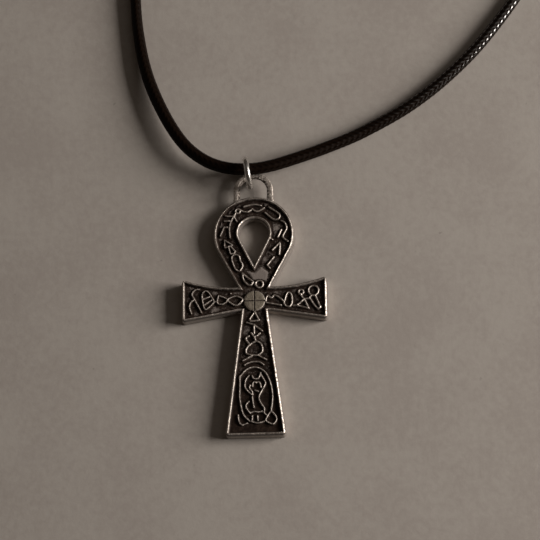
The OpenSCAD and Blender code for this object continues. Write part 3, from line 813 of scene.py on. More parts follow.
@dataclass
class Studio:
    """The camera, the floor, the lights and the sky."""

    target: Place = (2.641, 4.495, 3.567)
    toward_camera: Place = (0.048, -0.351, 0.935)
    picture_up: Place = (0.0295, 0.936, 0.350)
    distance: float = 550.0
    picture_width: float = 86.2
    sensor: float = 36.0
    nearest_seen: float = 10.0
    farthest_seen: float = 10000.0
    floor_half: float = 3000.0
    floor_drop: float = 0.01
    lights: tuple[SoftLight, ...] = (
        SoftLight("key", (1.0, 0.06, 0.42), 700.0, (360.0, 320.0), 5.5, (1.0, 0.93, 0.86)),
        SoftLight("upper", (0.9, 0.5, 1.3), 700.0, (500.0, 500.0), 0.14, (1.0, 0.93, 0.86)),
        SoftLight("side", (-1.0, 0.3, 0.4), 420.0, (260.0, 110.0), 0.02, (1.0, 0.92, 0.82)),
    )
    sky_colour: Colour = (0.66, 0.52, 0.40)
    sky_strength: float = 0.05

    def build(self) -> None:
        """Sets up the camera, the floor, the lights and the sky, and reports them."""
        self._camera()
        self._floor()
        for light in self.lights:
            light.hang()
        self._sky()
        bpy.context.scene.view_settings.view_transform = "Standard"
        log.info("studio: camera at %.0f mm, %d lights", self.distance, len(self.lights))

    def _camera(self) -> None:
        """Places the camera on the line from the target, its picture upright along the given direction."""
        back = Vector(self.toward_camera).normalized()
        right = Vector(self.picture_up).cross(back).normalized()
        up = back.cross(right)
        lens = bpy.data.cameras.new("camera")
        lens.sensor_width = self.sensor
        lens.lens = self.sensor * self.distance / self.picture_width
        lens.clip_start = self.nearest_seen * MM
        lens.clip_end = self.farthest_seen * MM
        camera = bpy.data.objects.new("camera", lens)
        place = (Vector(self.target) + back * self.distance) * MM
        turned = Matrix((right, up, back)).transposed().to_4x4()
        camera.matrix_world = Matrix.Translation(place) @ turned
        bpy.context.scene.collection.objects.link(camera)
        bpy.context.scene.camera = camera

    def _floor(self) -> None:
        """Lays one wide flat square just under the pendant's back."""
        across, along = np.meshgrid([-self.floor_half, self.floor_half], [-self.floor_half, self.floor_half],
                                    indexing="ij")
        sheet = Fabric()
        sheet.weave(sheet.place(np.stack([across, along, np.full((2, 2), -self.floor_drop)], axis=2)))
        floor = sheet.made("floor")
        floor.data.materials.append(PaleCard().material())

    def _sky(self) -> None:
        """Fills the surroundings with one even soft colour."""
        world = bpy.data.worlds.new("sky")
        world.use_nodes = True
        sky = world.node_tree.nodes["Background"]
        sky.inputs["Color"].default_value = (*self.sky_colour, 1.0)
        sky.inputs["Strength"].default_value = self.sky_strength
        bpy.context.scene.world = world


@dataclass
class BraidedCord:
    """The black braided cord: one whole loop from one of the clasp's sockets round to the other."""

    ring_at: tuple[float, float]
    clasp_at: Place
    bail_top: float = BAIL_TOP
    diameter: float = 2.0
    clasp_len: float = 12.0
    socket_depth: float = 3.0
    socket_clear: float = 0.05
    columns: int = 8
    around: int = 4
    float_len: float = 1.0
    along: int = 6
    depth: float = 0.035
    slant: float = 0.9
    strand_end: float = 0.3

    def route(self) -> Array:
        """The cord's middle line: the chosen points joined smoothly, never nearer the floor than a radius.

        Returns:
            The line's points, close together, with x, y and z.
        """
        reach_in = self.clasp_len / 2 - self.socket_depth + self.socket_clear
        reach_out = self.clasp_len / 2 + self.diameter
        x, y, z = self.clasp_at
        lain = np.array(CORD_ROUTE)
        lain[:, :2] += self.ring_at
        lain[:, 2] = lain[:, 2] * self.bail_top + self.diameter / 2
        before = [(x - reach_in, y, z), (x - reach_out, y, z)]
        after = [(x + reach_out, y, z), (x + reach_in, y, z)]
        line = through(np.vstack([before, lain, after]), False, 24)
        line[:, 2] = np.maximum(line[:, 2], self.diameter / 2)
        return line

    def build(self) -> bpy.types.Object:
        """Carries the braid's section along the route.

        The section is an oval whose half axes follow the table of sections. On it lie columns of strands
        along the cord. In each column the strands are short ovals one after another, slanted to the left in
        one column and to the right in the next: sine across the column times sine squared along the slant,
        which falls to a set share of the height between two strands. The table also says how far they stand
        out.

        Returns:
            The cord.
        """
        spacing = self.float_len / self.along
        line = evenly(self.route(), spacing)
        gone = np.arange(len(line))[:, None] * spacing
        ahead = unit(np.gradient(line, axis=0))
        side = unit(np.cross(ahead, [0, 0, 1]))
        up = np.cross(side, ahead)

        table = np.array(CORD_SECTIONS)
        wide, tall, raised = (np.interp(gone, table[:, 0], table[:, k]) for k in (1, 2, 3))
        sides = self.columns * self.around
        share = np.arange(sides)[None, :] / sides
        angle = 2 * math.pi * (share - 0.5 / self.columns)
        column = share * self.columns
        across = column % 1
        turned = np.where(np.floor(column) % 2 == 0, self.slant, -self.slant)
        slid = gone / self.float_len + turned * (across - 0.5)
        swell = self.strand_end + (1 - self.strand_end) * np.sin(math.pi * slid) ** 2
        strand = np.sin(math.pi * (across + 0.5 / self.around)) * swell
        sunk = self.depth * raised * (strand - 1)

        rings = line[:, None, :] - np.array([0, 0, 1]) * (self.diameter / 2 - tall)[:, :, None]
        rings = rings + ((wide + sunk) * np.cos(angle))[..., None] * side[:, None, :]
        rings = rings + ((tall + sunk) * np.sin(angle))[..., None] * up[:, None, :]

        cord = Fabric.tube("braided_cord", rings)
        ends = np.zeros(2)
        record_values(cord, "strand", np.concatenate([strand.ravel(), ends]))
        record_values(cord, "raised", np.concatenate([np.repeat(raised / 2, sides), ends]))
        cord.data.materials.append(WaxedBraid().material())
        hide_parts("cord")
        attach(cord, BODY)
        log.info("braided_cord: %d rings along %.1f mm", len(rings), gone[-1, 0])
        return cord


@dataclass(frozen=True)
class AnkhPlan:
    """The casting's flat drawing: its outline, its hole, and how far a point lies inside them."""

    arm_span: float
    stem_len: float
    step: float = 0.11
    corner_r: float = 0.55
    corner_least: float = 0.06
    corner_points: int = 9
    loop_r: float = 6.5
    loop_y: float = 11.35
    neck_w: float = 5.3
    hole_r: float = 2.4
    hole_rise: float = 0.3
    hole_taper: float = 51.0
    hole_side_points: int = 52
    tip_blunt: float = 0.05
    tip_blunting: float = 0.34
    tip_farthest: float = 0.6
    arm_end_h: float = 7.3
    arm_root_h: float = 4.15
    arm_rise: float = 0.33
    arm_dip: float = 0.45
    foot_w: float = 9.65
    stem_root_w: float = 4.35

    @property
    def root(self) -> float:
        """Where the arms begin, from the middle."""
        return self.neck_w / 2

    @property
    def arm_len(self) -> float:
        """An arm's length from its root to its end."""
        return self.arm_span - self.root

    @property
    def arm_low(self) -> Band:
        """Heights of an arm's lower edge at its root and at its end."""
        return self.arm_rise - self.arm_root_h / 2, self.arm_rise - self.arm_end_h / 2

    @property
    def arm_top(self) -> Band:
        """Heights of an arm's upper edge at its root and at its end."""
        return self.arm_rise + self.arm_root_h / 2, self.arm_rise + self.arm_end_h / 2

    @property
    def stem_slope(self) -> float:
        """Lean of the stem's sides in radians."""
        return math.atan((self.foot_w - self.stem_root_w) / 2 / (self.stem_len + self.arm_low[0]))

    @property
    def loop_flank(self) -> float:
        """Angle at which the loop's round gives way to its straight side, in radians."""
        across, down = self.root, self.loop_y - self.arm_top[0]
        return math.atan2(down, -across) - math.asin(self.loop_r / math.hypot(across, down)) - math.pi / 2

    @property
    def hole_flank(self) -> float:
        """Angle at which the hole's round gives way to its straight side, in radians."""
        return -math.radians(self.hole_taper / 2)

    @property
    def hole_y(self) -> float:
        """Height of the hole's centre."""
        return self.loop_y + self.hole_rise

    def _count(self, length: float) -> int:
        """How many steps a stretch of some length gets."""
        return max(2, math.ceil(length / self.step))

    def upper_edge(self, x: Array) -> Array:
        """Height of the arms' upper edge: straight from root to end, less the dip of a parabola."""
        u = np.clip((x - self.root) / self.arm_len, 0, 1)
        return self.arm_top[0] + (self.arm_top[1] - self.arm_top[0]) * u - 4 * self.arm_dip * u * (1 - u)

    def lower_edge(self, x: Array) -> Array:
        """Height of the arms' lower edge: level under the root, then straight to the end."""
        u = np.clip((x - self.root) / self.arm_len, 0, 1)
        return self.arm_low[0] + (self.arm_low[1] - self.arm_low[0]) * u

    def outline(self, inset: float) -> Array:
        """The outline drawn in by an inset, once round from the foot's middle up the right side.

        Every inset has the same number of points, so that the outlines make the rows of one grid.

        Args:
            inset: how far inside the plate's edge it runs.

        Returns:
            The outline's points, without a repeat of the first.
        """
        slope, flank = self.stem_slope, self.loop_flank
        lean, radius = math.tan(slope), max(self.corner_r - inset, self.corner_least)
        foot_y = inset - self.stem_len
        foot_x = self.foot_w / 2 - inset / math.cos(slope) - inset * lean
        notch_y = self.arm_low[0] + inset
        notch_x = foot_x - (notch_y - foot_y) * lean
        end = self.arm_span - inset

        foot = rounded(np.array([0, foot_y]), np.array([foot_x, foot_y]), np.array([notch_x, notch_y]),
                       radius, self.corner_points)
        low_near = np.array([self.root, notch_y])
        low_end = np.array([end, self.arm_low[1] + inset])
        high_end = np.array([end, self.arm_top[1] - inset])
        near_x = self.arm_span - 0.1 * self.arm_len
        near = np.array([near_x, float(self.upper_edge(np.array(near_x))) - inset])
        low = rounded(low_near, low_end, high_end, radius, self.corner_points)
        high = rounded(low_end, high_end, near, radius, self.corner_points)

        neck_y = self.arm_top[0] - inset
        reach = self.loop_r - inset
        neck_x = (reach - (neck_y - self.loop_y) * math.sin(flank)) / math.cos(flank)
        touch = np.array([reach * math.cos(flank), self.loop_y + reach * math.sin(flank)])

        lower_x = run([notch_x], [low[0, 0]], self._count(self.arm_len))[:, 0]
        upper_x = run([high[-1, 0]], [neck_x], self._count(self.arm_len))[:, 0]
        lower = np.stack([lower_x, self.lower_edge(lower_x) + inset], axis=1)
        upper = np.stack([upper_x, self.upper_edge(upper_x) - inset], axis=1)
        half = np.vstack([
            run([0, foot_y], foot[0], self._count(self.foot_w / 2)),
            foot[:-1],
            run(foot[-1], [notch_x, notch_y], self._count(self.stem_len)),
            lower,
            low[:-1],
            run(low[-1], high[0], self._count(self.arm_end_h)),
            high[:-1],
            upper,
            run([neck_x, neck_y], touch, self._count(self.loop_r)),
            turn([0, self.loop_y], reach, flank, math.pi / 2, self._count(self.loop_r * 2)),
            [[0, self.loop_y + reach]],
        ])
        return np.vstack([half, half[-2:0:-1] * [-1, 1]])

    def hole(self, margin: float) -> Array:
        """The hole's edge moved out by a margin, once round clockwise from its tip.

        It is an arc above two straight sides, and the tip between them is a hyperbola that grows blunter with
        the margin.

        Args:
            margin: how far outside the hole's edge it runs.

        Returns:
            The edge's points, without a repeat of the first.
        """
        flank, reach = self.hole_flank, self.hole_r + margin
        blunt = self._blunt(margin)
        across = reach * math.cos(flank) * run([0], [1], self.hole_side_points)[:, 0]
        down = self.hole_y + (reach - np.hypot(across, blunt) * math.cos(flank)) / math.sin(flank)
        left = np.stack([-across, down], axis=1)
        top = turn([0, self.hole_y], reach, math.pi - flank, flank, self._count(self.hole_r * 4))
        right = left[:0:-1] * [-1, 1]
        touch = [[reach * math.cos(flank), self.hole_y + reach * math.sin(flank)]]
        return np.vstack([left, top, touch, right])

    def _blunt(self, margin: Union[float, Array]) -> Union[float, Array]:
        """How blunt the hole's tip is at a margin."""
        return self.tip_blunt + self.tip_blunting * margin

    def inside(self, points: Array) -> Array:
        """How far each point lies inside the plate's edge, below zero outside it.

        Each of the three forms gives its least distance to its own edges, and the largest of the three
        counts: the loop is a circle above two straight sides, and the arms and the stem have rounded corners.

        Args:
            points: the places, with x and y.

        Returns:
            The distance for each place.
        """
        x, y = np.abs(points[:, 0]), points[:, 1]
        flank, slope, r = self.loop_flank, self.stem_slope, self.corner_r
        up = y - self.loop_y
        loop = self.loop_r - np.where(np.arctan2(up, x) > flank, np.hypot(x, up),
                                      x * math.cos(flank) + up * math.sin(flank))
        side = (self.foot_w / 2 - (y + self.stem_len) * math.tan(slope) - x) * math.cos(slope)
        stem = self._within_corner(side, y + self.stem_len, r)
        tall = np.minimum(self.upper_edge(x) - y, y - self.lower_edge(x))
        return np.maximum(np.maximum(loop, stem), self._within_corner(self.arm_span - x, tall, r))

    @staticmethod
    def _within_corner(first: Array, second: Array, radius: float) -> Array:
        """Distance inside two edges that meet in a round corner."""
        near = radius - np.hypot(np.maximum(radius - first, 0), np.maximum(radius - second, 0))
        return np.where((first < radius) & (second < radius), near, np.minimum(first, second))

    def beyond_hole(self, points: Array) -> Array:
        """How far each point lies outside the hole's edge, below zero inside it.

        The tip grows blunter with that very distance, so the distance is worked out twice, the second time
        with the bluntness that the first one gives.

        Args:
            points: the places, with x and y.

        Returns:
            The distance for each place.
        """
        x, up = np.abs(points[:, 0]), points[:, 1] - self.hole_y
        flank = self.hole_flank
        away = np.zeros(len(points))
        for _ in range(2):
            blunt = self._blunt(np.clip(away, 0, self.tip_farthest))
            straight = np.hypot(x, blunt) * math.cos(flank) + up * math.sin(flank)
            away = np.where(np.arctan2(up, x) > flank, np.hypot(x, up), straight) - self.hole_r
        return away

    def edge(self, points: Array) -> Array:
        """How far each point lies from the nearer of the plate's edge and the hole's edge."""
        return np.minimum(self.inside(points), self.beyond_hole(points))


@dataclass(frozen=True)
class CastingWearAndPaintedLight:
    """Where the casting is worn, and where light and shade are painted on it: bands over which each effect
    comes in, and shares.
    """

    # Side walls: painted light and shade, by height and by the part of their direction that faces a side or
    # slants
    wall_foot: Band = (0.08, 0.4)
    wall_shoulder: Band = (1.3, 1.5)
    wall_sideways: Band = (0.2, 0.7)
    wall_slant: Band = (0.3, 0.45)
    slant_painted_shade: float = 0.7
    hole_share: float = 0.4
    least_light: float = 0.4
    shoulder_light: float = 0.3
    wall_edge: Band = (0.09, 0.16)

    # Relief darker towards the foot, and painted shade on rims that face up or down, on signs at the left and
    # on rims towards the key light
    ground_edge: Band = (0.5, 0.8)
    foot_y: Band = (7, 12)
    foot_darkening: float = 0.2
    rim_upright: Band = (0.2, 0.4)
    rim_edge: Band = (0.4, 0.5)
    rim_painted_shade: float = 0.42
    left_x: Band = (1, 5)
    left_painted_shade: float = 0.34
    left_shade_cut: float = 0.09
    left_shade_cut_y: float = 2.5
    key_facing: Band = (0.3, 0.6)
    key_y: Band = (2.3, 3)
    key_edge: Band = (0.4, 0.6)
    key_painted_shade: float = 0.36

    # Black ground worn away where it lies open, less towards the foot, and at the worn places and the pad
    rim_room: float = 0.35
    open_room: Band = (0.16, 0.6)
    open_worn: float = 0.46
    low_share: float = 0.35
    low_y: Band = (-19, -10)
    place_worn: float = 0.55
    place_reach: Band = (0.2, 1.3)
    pad_worn: float = 0.9
    pad_edge: Band = (-0.15, 0.2)
    pad_open: Band = (0.1, 0.5)


@dataclass
class AnkhCasting:
    """The cast ankh: walls and rim carried round its outline, a sunk ground with raised signs, and a bail."""

    plan: AnkhPlan
    plate_t: float
    # where the casting is worn, and where light and shade are painted on it
    wear: CastingWearAndPaintedLight = CastingWearAndPaintedLight()
    ground_depth: float = 0.5
    wave_h: float = 0.018
    fine_wave_h: float = 0.012

    # Signs and pad
    line_w: float = 0.3
    line_h: float = 0.36
    line_foot: float = 0.07
    line_uneven: float = 0.07
    line_sunk: float = 0.2
    line_fillet: float = 0.05
    faint_h: float = 0.16
    pad_h: float = 0.14
    pad_slope: Band = (-0.1, 0.08)

    # Boss and its cross. The cross's slope and the groove's are shares of its width
    boss_r: float = 1.69
    boss_h: float = 0.4
    boss_domed: float = 0.02
    boss_edge_w: float = 0.16
    boss_edge_h: float = 0.08
    boss_steep: float = 3.0
    boss_fillet: float = 0.03
    cross_w: float = 0.22
    cross_depth: float = 0.14
    cross_slope: Band = (0.2, 0.55)
    groove_slope: Band = (0.4, 0.65)

    # Rim: its drop at the outer edge, the way over which it rounds, its crest and its slope inwards
    rim_drop: float = 0.25
    rim_round: float = 0.35
    rim_power: float = 1.35
    rim_crest: float = 0.33
    rim_slope: Band = (0.3, 0.64)
    rim_wave: float = 0.012
    rim_worn: float = 0.02
    rim_fillet: float = 0.04

    # Bail
    bail_top: float = BAIL_TOP
    bail_r: float = 2.7
    bail_w: float = 1.0
    bail_t: float = BAIL_T
    bail_y: float = 18.9
    bail_inset: float = 0.3
    bail_flare: float = 0.16
    bail_flare_y: Band = (-0.1, 0.75)
    bail_worn: float = 0.05
    leg_steps: int = 16
    arch_steps: int = 96
    bail_sides: int = 28

    # Insets of the rim's rows, and the inset and height of each of the wall's
    rim_rows: tuple[float, ...] = (
        0.05, 0.09, 0.14, 0.19, 0.24, 0.29, 0.33, 0.37, 0.41, 0.45, 0.5, 0.55, 0.6, 0.66)
    wall_rows: tuple[Band, ...] = (
        (0.2, 0.0), (0.09, 0.02), (0.03, 0.08), (0.0, 0.18), (0.0, 0.4), (0.0, 0.62), (0.0, 0.84),
        (0.0, 1.02), (0.01, 1.16), (0.03, 1.3), (0.035, 1.4), (0.03, 1.5), (0.02, 1.6), (0.03, 1.7),
    )

    # Rows beside the signs, round the boss as shares of its radius and beside its cross, and the grid
    sign_rows: tuple[float, ...] = (0.0, 0.07, 0.12, 0.16, 0.2, 0.25)
    boss_rows: tuple[float, ...] = (0.95, 0.99, 1.02, 1.06, 1.12)
    cross_rows: tuple[float, ...] = (0.0, 0.045, 0.08, 0.12, 0.17, 0.22)
    sign_spacing: float = 0.13
    least_spacing: float = 0.045
    ground_spacing: float = 0.17
    back_spacing: float = 0.8
    sign_slack: float = 0.012
    sign_clear: float = 0.07
    boss_clear: float = 0.22
    cross_clear: float = 0.04
    rim_clear: float = 0.06

    @property
    def ground_z(self) -> float:
        """Height of the sunk ground."""
        return self.plate_t - self.ground_depth

    @property
    def bail_foot_y(self) -> float:
        """Height at which the bail's middle line ends in the border."""
        return float(self._foot_at(np.array(self.bail_r)))

    def _foot_at(self, x: Array) -> Array:
        """Height of the arc in the border on which the bail's feet end."""
        return self.plan.loop_y + np.sqrt((self.plan.loop_r - self.bail_inset) ** 2 - x**2)

    def _paths(self, signs: Sequence[tuple[Join, list[tuple[float, float]]]]) -> list[Array]:
        """The middle lines of signs, closed ones coming back to their start.

        Args:
            signs: how each sign is joined, and its points.

        Returns:
            One path for each sign.
        """
        paths = []
        for join, points in signs:
            closed = join in (Join.CLOSED, Join.CLOSED_CURVE)
            path = np.array(points, float)
            if join in (Join.OPEN_CURVE, Join.CLOSED_CURVE):
                path = through(path, closed, 8)
            paths.append(come_round(path) if closed else path)
        return paths

    def sign_paths(self) -> list[Array]:
        """The middle lines of all raised signs, the rings among them."""
        rings = [come_round(turn([x, y], radius, 0, 2 * math.pi, 40)) for x, y, radius in SIGN_RINGS]
        return self._paths(LOOP_SIGNS + ARM_SIGNS + STEM_SIGNS) + rings

    def faint_paths(self) -> list[Array]:
        """The middle lines of the worn marks."""
        return self._paths(FAINT_SIGNS)

    @staticmethod
    def _nearest(points: Array, paths: list[Array], reach: float = 1.0) -> Array:
        """Distance from each point to the nearest path, no more than a reach.

        Args:
            points: the places, with x and y.
            paths: the paths.
            reach: the most that is told.

        Returns:
            The distance for each place.
        """
        nearest = np.full(len(points), reach)
        for path in paths:
            low, high = path.min(axis=0) - reach, path.max(axis=0) + reach
            close = np.flatnonzero(((points > low) & (points < high)).all(axis=1))
            if len(close):
                nearest[close] = np.minimum(nearest[close], to_path(points[close], path))
        return nearest

    def _within_pad(self, points: Array) -> Array:
        """How far each point lies inside the pad, below zero outside it."""
        pad = np.array(PAD, float)
        return to_path(points, come_round(pad)) * np.where(self._in_polygon(points, pad), 1, -1)

    def _sign_heights(self, points: Array, paths: list[Array], rise: float, wave: Array) -> Array:
        """Height of signs: half an oval across each line, a little uneven, and sunk beside it.

        Args:
            points: the places, with x and y.
            paths: the signs' middle lines.
            rise: how high they stand on the ground.
            wave: the ground's wave at each place, which makes them uneven.

        Returns:
            The height for each place.
        """
        away = self._nearest(points, paths)
        section = np.sqrt(np.maximum(1 - (away / (self.line_w / 2 + self.line_foot)) ** 2, 0))
        uneven = 1 + self.line_uneven * wave
        return self.ground_z + rise * section * uneven - (1 - section) * self.line_sunk

    def _in_cross(self, points: Array, slope: Band) -> Array:
        """How far each point lies in the boss's cross, eased over a band given in shares of its width."""
        return 1 - smooth(np.abs(points).min(axis=1), slope[0] * self.cross_w, slope[1] * self.cross_w)

    def _boss_heights(self, points: Array) -> Array:
        """Height of the boss: a low dome with a rounded edge and a steep side, cut by a cross.

        Args:
            points: the places, with x and y.

        Returns:
            The height for each place.
        """
        out = np.hypot(points[:, 0], points[:, 1])
        dome = self.boss_h - self.boss_domed * (out / self.boss_r) ** 2
        dome = dome - self.boss_edge_h * smooth(out, self.boss_r - self.boss_edge_w, self.boss_r)
        boss = self.ground_z + dome - self.boss_steep * np.maximum(out - self.boss_r, 0)
        cut = self._in_cross(points, self.cross_slope)
        return boss - self.cross_depth * cut * (out < self.boss_r + 0.1)

    def _rim_heights(self, points: Array, wave: Array) -> Array:
        """Height of the rim.

        It rises over its outer edge, short of the full height by a power of the way left to its crest, and
        falls to the ground along an eased slope. Both the border's line and its height are a little uneven.

        Args:
            points: the places, with x and y.
            wave: the ground's wave at each place, which wears the rim.

        Returns:
            The height for each place.
        """
        edge = self.plan.edge(points) + self.rim_wave * ripple(points, 1.3, 7)
        left = np.maximum(1 - np.maximum(edge, 0) / self.rim_round, 0)
        outer = self.plate_t - self.rim_drop * left**self.rim_power
        inner = self.ground_z + self.ground_depth * (1 - smooth(edge, *self.rim_slope))
        rim = np.where(edge < self.rim_crest, outer, inner)
        return rim - self.rim_worn * np.maximum(wave, 0) * (rim > self.ground_z + 0.1)

    def heights(self, points: Array) -> Array:
        """Height of the face at each point.

        The ground carries slight casting waves. On it stand the pad and, each with a fillet at its foot, the
        signs, the boss and the rim. Nothing stands higher than the plate is thick.

        Args:
            points: the places, with x and y.

        Returns:
            The height for each place.
        """
        wave = ripple(points, 0.9, 3)
        height = self.ground_z + self.wave_h * wave + self.fine_wave_h * ripple(points, 0.36, 5)
        pad = self.ground_z + self.pad_h * smooth(self._within_pad(points), *self.pad_slope)
        height = np.maximum(height, pad)
        for paths, rise in ((self.faint_paths(), self.faint_h), (self.sign_paths(), self.line_h)):
            height = higher(height, self._sign_heights(points, paths, rise, wave), self.line_fillet)
        height = higher(height, self._boss_heights(points), self.boss_fillet)
        return np.minimum(higher(height, self._rim_heights(points, wave), self.rim_fillet), self.plate_t)

    @staticmethod
    def _in_polygon(points: Array, corners: Array) -> Array:
        """Whether each point lies in a polygon: a ray from it crosses the edges an odd number of times.

        Args:
            points: the places, with x and y.
            corners: the polygon's corners in order.

        Returns:
            The answer for each place.
        """
        start, end = corners, np.roll(corners, -1, axis=0)
        x, y = points[:, :1], points[:, 1:]
        spans = (start[:, 1] > y) != (end[:, 1] > y)
        rise = np.where(end[:, 1] == start[:, 1], 1e-9, end[:, 1] - start[:, 1])
        cross_x = start[:, 0] + (y - start[:, 1]) / rise * (end[:, 0] - start[:, 0])
        return (spans & (x < cross_x)).sum(axis=1) % 2 == 1

    def _ground_points(self) -> Array:
        """Places for the points of the ground and its relief.

        Rows run along each sign at the set offsets, round its ends, round the boss and beside its cross. A
        row beside a sign is kept where it really lies at its offset from the nearest one. A grid of even
        triangles fills the rest.

        Returns:
            The places, with x and y, inside the innermost rows of the rim.
        """
        marks = self.sign_paths() + self.faint_paths()
        rows: list[Array] = []
        for offset in self.sign_rows:
            found: list[Array] = []
            for path in marks:
                even = evenly(path, self.sign_spacing)
                across = sideways(even)
                found += [even + offset * across, even - offset * across] if offset else [even]
                if offset and np.linalg.norm(path[0] - path[-1]) > 0.01:
                    found += [turn(end, offset, 0, 2 * math.pi, 10) for end in (path[0], path[-1])]
            row = np.vstack(found)
            rows.append(row[self._nearest(row, marks) > offset - self.sign_slack])
        for reach in self.boss_rows:
            rows.append(turn([0, 0], self.boss_r * reach, 0, 2 * math.pi, 90))
        line = run([-self.boss_r], [self.boss_r], 30)[:, 0]
        for beside in self.cross_rows:
            for sign in (-1, 1):
                bar = np.stack([line, np.full(len(line), sign * beside)], axis=1)
                rows += [bar, bar[:, ::-1]]

        rails = thinned(np.vstack(rows), self.least_spacing)
        low = np.array([-self.plan.arm_span, -self.plan.stem_len])
        high = np.array([self.plan.arm_span, self.plan.loop_y + self.plan.loop_r])
        count = np.ceil((high - low) / self.ground_spacing / [1, math.sqrt(0.75)]).astype(int)
        column, row = np.meshgrid(np.arange(count[0]), np.arange(count[1]), indexing="ij")
        even = np.stack([column + 0.5 * (row % 2), row * math.sqrt(0.75)], axis=2).reshape(-1, 2)
        even = even * self.ground_spacing + low
        out = np.hypot(even[:, 0], even[:, 1])
        clear = self._nearest(even, marks) > self.sign_rows[-1] + self.sign_clear
        clear &= np.abs(out - self.boss_r) > self.boss_clear
        beside_cross = np.abs(even).min(axis=1) > self.cross_rows[-1] + self.cross_clear
        clear &= beside_cross | (out > self.boss_r)
        places = np.vstack([rails, even[clear]])
        return places[self.plan.edge(places) > self.rim_rows[-1] + self.rim_clear]

    def _shell_round(self, cloth: Fabric, rows: list[Array], heights: list[Array]) -> Array:
        """Lays rows of points round an outline and weaves them into a wall and rim.

        Args:
            cloth: the surface in the making.
            rows: the outline at each row's inset.
            heights: the height of each row's points.

        Returns:
            The point numbers, one row for each row.
        """
        grid = np.stack([np.column_stack([row, height]) for row, height in zip(rows, heights)], axis=1)
        numbers = cloth.place(grid)
        cloth.weave_round(numbers)
        return numbers.T

    def _sheet_between(self, cloth: Fabric, loops: list[tuple[Array, Array]], inner: Array,
                       facing_up: bool) -> None:
        """Fills the space between an outline and a hole with a sheet of triangles.

        Args:
            cloth: the surface in the making.
            loops: the outline and then the hole, each as its point numbers and its places.
            inner: points inside the sheet, with x, y and z.
            facing_up: whether the sheet faces up.
        """
        numbers = np.concatenate([loops[0][0], loops[1][0], cloth.place(inner)])
        flat = np.vstack([loops[0][1], loops[1][1], inner[:, :2]])
        first, second = len(loops[0][0]), len(loops[1][0])
        rings = [np.arange(first), first + np.arange(second)]
        edges = np.vstack([np.stack([ring, np.roll(ring, -1)], axis=1) for ring in rings])
        found = delaunay_2d_cdt([Vector(p) for p in flat.tolist()], edges.tolist(), [], 1, 1e-7)
        came_from = np.array([ids[0] for ids in found[3]])
        corners = came_from[np.array(found[2])]
        middle = flat[corners].mean(axis=1)
        of_hole = ((corners >= first) & (corners < first + second)).all(axis=1)
        corners = corners[~(of_hole & self._in_polygon(middle, loops[1][1]))]
        a, b, c = (flat[corners[:, k]] for k in range(3))
        area = (b - a)[:, 0] * (c - a)[:, 1] - (b - a)[:, 1] * (c - a)[:, 0]
        wrong = (area < 0) == facing_up
        corners[wrong] = corners[wrong][:, ::-1]
        cloth.faces.append(numbers[corners])

    def _plate(self) -> bpy.types.Object:
        """Builds the plate as one closed surface.

        Returns:
            The plate without its bail.
        """
        cloth = Fabric()
        loops_up, loops_down = [], []
        for drawn in (self.plan.outline, self.plan.hole):
            rows = [drawn(inset) for inset, _ in self.wall_rows]
            heights = [np.full(len(rows[0]), z) for _, z in self.wall_rows]
            for inset in self.rim_rows:
                row = drawn(inset)
                rows.append(row)
                heights.append(self.heights(row))
            numbers = self._shell_round(cloth, rows, heights)
            loops_up.append((numbers[-1], rows[-1]))
            loops_down.append((numbers[0], rows[0]))
        places = self._ground_points()
        self._sheet_between(cloth, loops_up, np.column_stack([places, self.heights(places)]), True)

        spread = thinned(places[::5], self.back_spacing)
        back = np.column_stack([spread, np.zeros(len(spread))])
        self._sheet_between(cloth, loops_down, back, False)
        return cloth.made("ankh_casting")

    def _bail(self) -> bpy.types.Object:
        """Builds the arch bail: a rounded bar carried up one leg, round the arch and down the other.

        The section is a superellipse, whose x and y are the roots of the cosine and the sine with their signs
        kept. It grows a little wider towards its feet, which end on an arc in the border, and wear thins it
        in places.

        Returns:
            The bail as a closed surface of its own.
        """
        leg = self.bail_y - self.bail_foot_y
        legs = run([0], [leg], self.leg_steps)[:, 0]
        path = np.vstack([
            np.column_stack([np.full(self.leg_steps, self.bail_r), self.bail_foot_y + legs]),
            turn([0, self.bail_y], self.bail_r, 0, math.pi, self.arch_steps),
            np.column_stack([np.full(self.leg_steps + 1, -self.bail_r), self.bail_y - np.append(legs, leg)]),
        ])
        angle = circle(self.bail_sides)
        out, rise = (np.sign(wave) * np.abs(wave) ** 0.5 for wave in (np.cos(angle), np.sin(angle)))
        above = path[:, 1] - (self.plan.loop_y + math.sqrt(self.plan.loop_r**2 - self.bail_r**2))
        width = self.bail_w / 2 * (1 + self.bail_flare * (1 - smooth(above, *self.bail_flare_y)))
        flat = path[:, None, :] - (out * width[:, None])[..., None] * sideways(path)[:, None, :]
        down = np.clip((self.bail_y - path[:, 1]) / leg, 0, 1)[:, None]
        flat[..., 1] += down * (self._foot_at(flat[..., 0]) - self.bail_foot_y)
        middle_z = self.bail_top - self.bail_t / 2
        tall = middle_z + rise * self.bail_t / 2 * np.ones((len(path), 1))
        rings = np.concatenate([flat, tall[..., None]], axis=2)
        worn = ripple(rings.reshape(-1, 3), 0.7, 11).reshape(tall.shape)
        towards = rings - np.column_stack([path, np.full(len(path), middle_z)])[:, None, :]
        rings = rings - towards * (self.bail_worn * np.maximum(worn, 0))[..., None]
        return Fabric.tube("ankh_bail", rings)

    def _joined(self, plate: bpy.types.Object, bail: bpy.types.Object) -> None:
        """Melts the bail into the plate, so that the casting is one closed surface.

        Args:
            plate: the plate, which becomes the casting.
            bail: the bail, which is used up.
        """
        melt = plate.modifiers.new("bail", "BOOLEAN")
        melt.operation = "UNION"
        melt.solver = "MANIFOLD"
        melt.object = bail
        seen = plate.evaluated_get(bpy.context.evaluated_depsgraph_get())
        whole = bpy.data.meshes.new_from_object(seen)
        plate.modifiers.clear()
        plate.data = whole
        whole.name = plate.name
        bpy.data.objects.remove(bail)

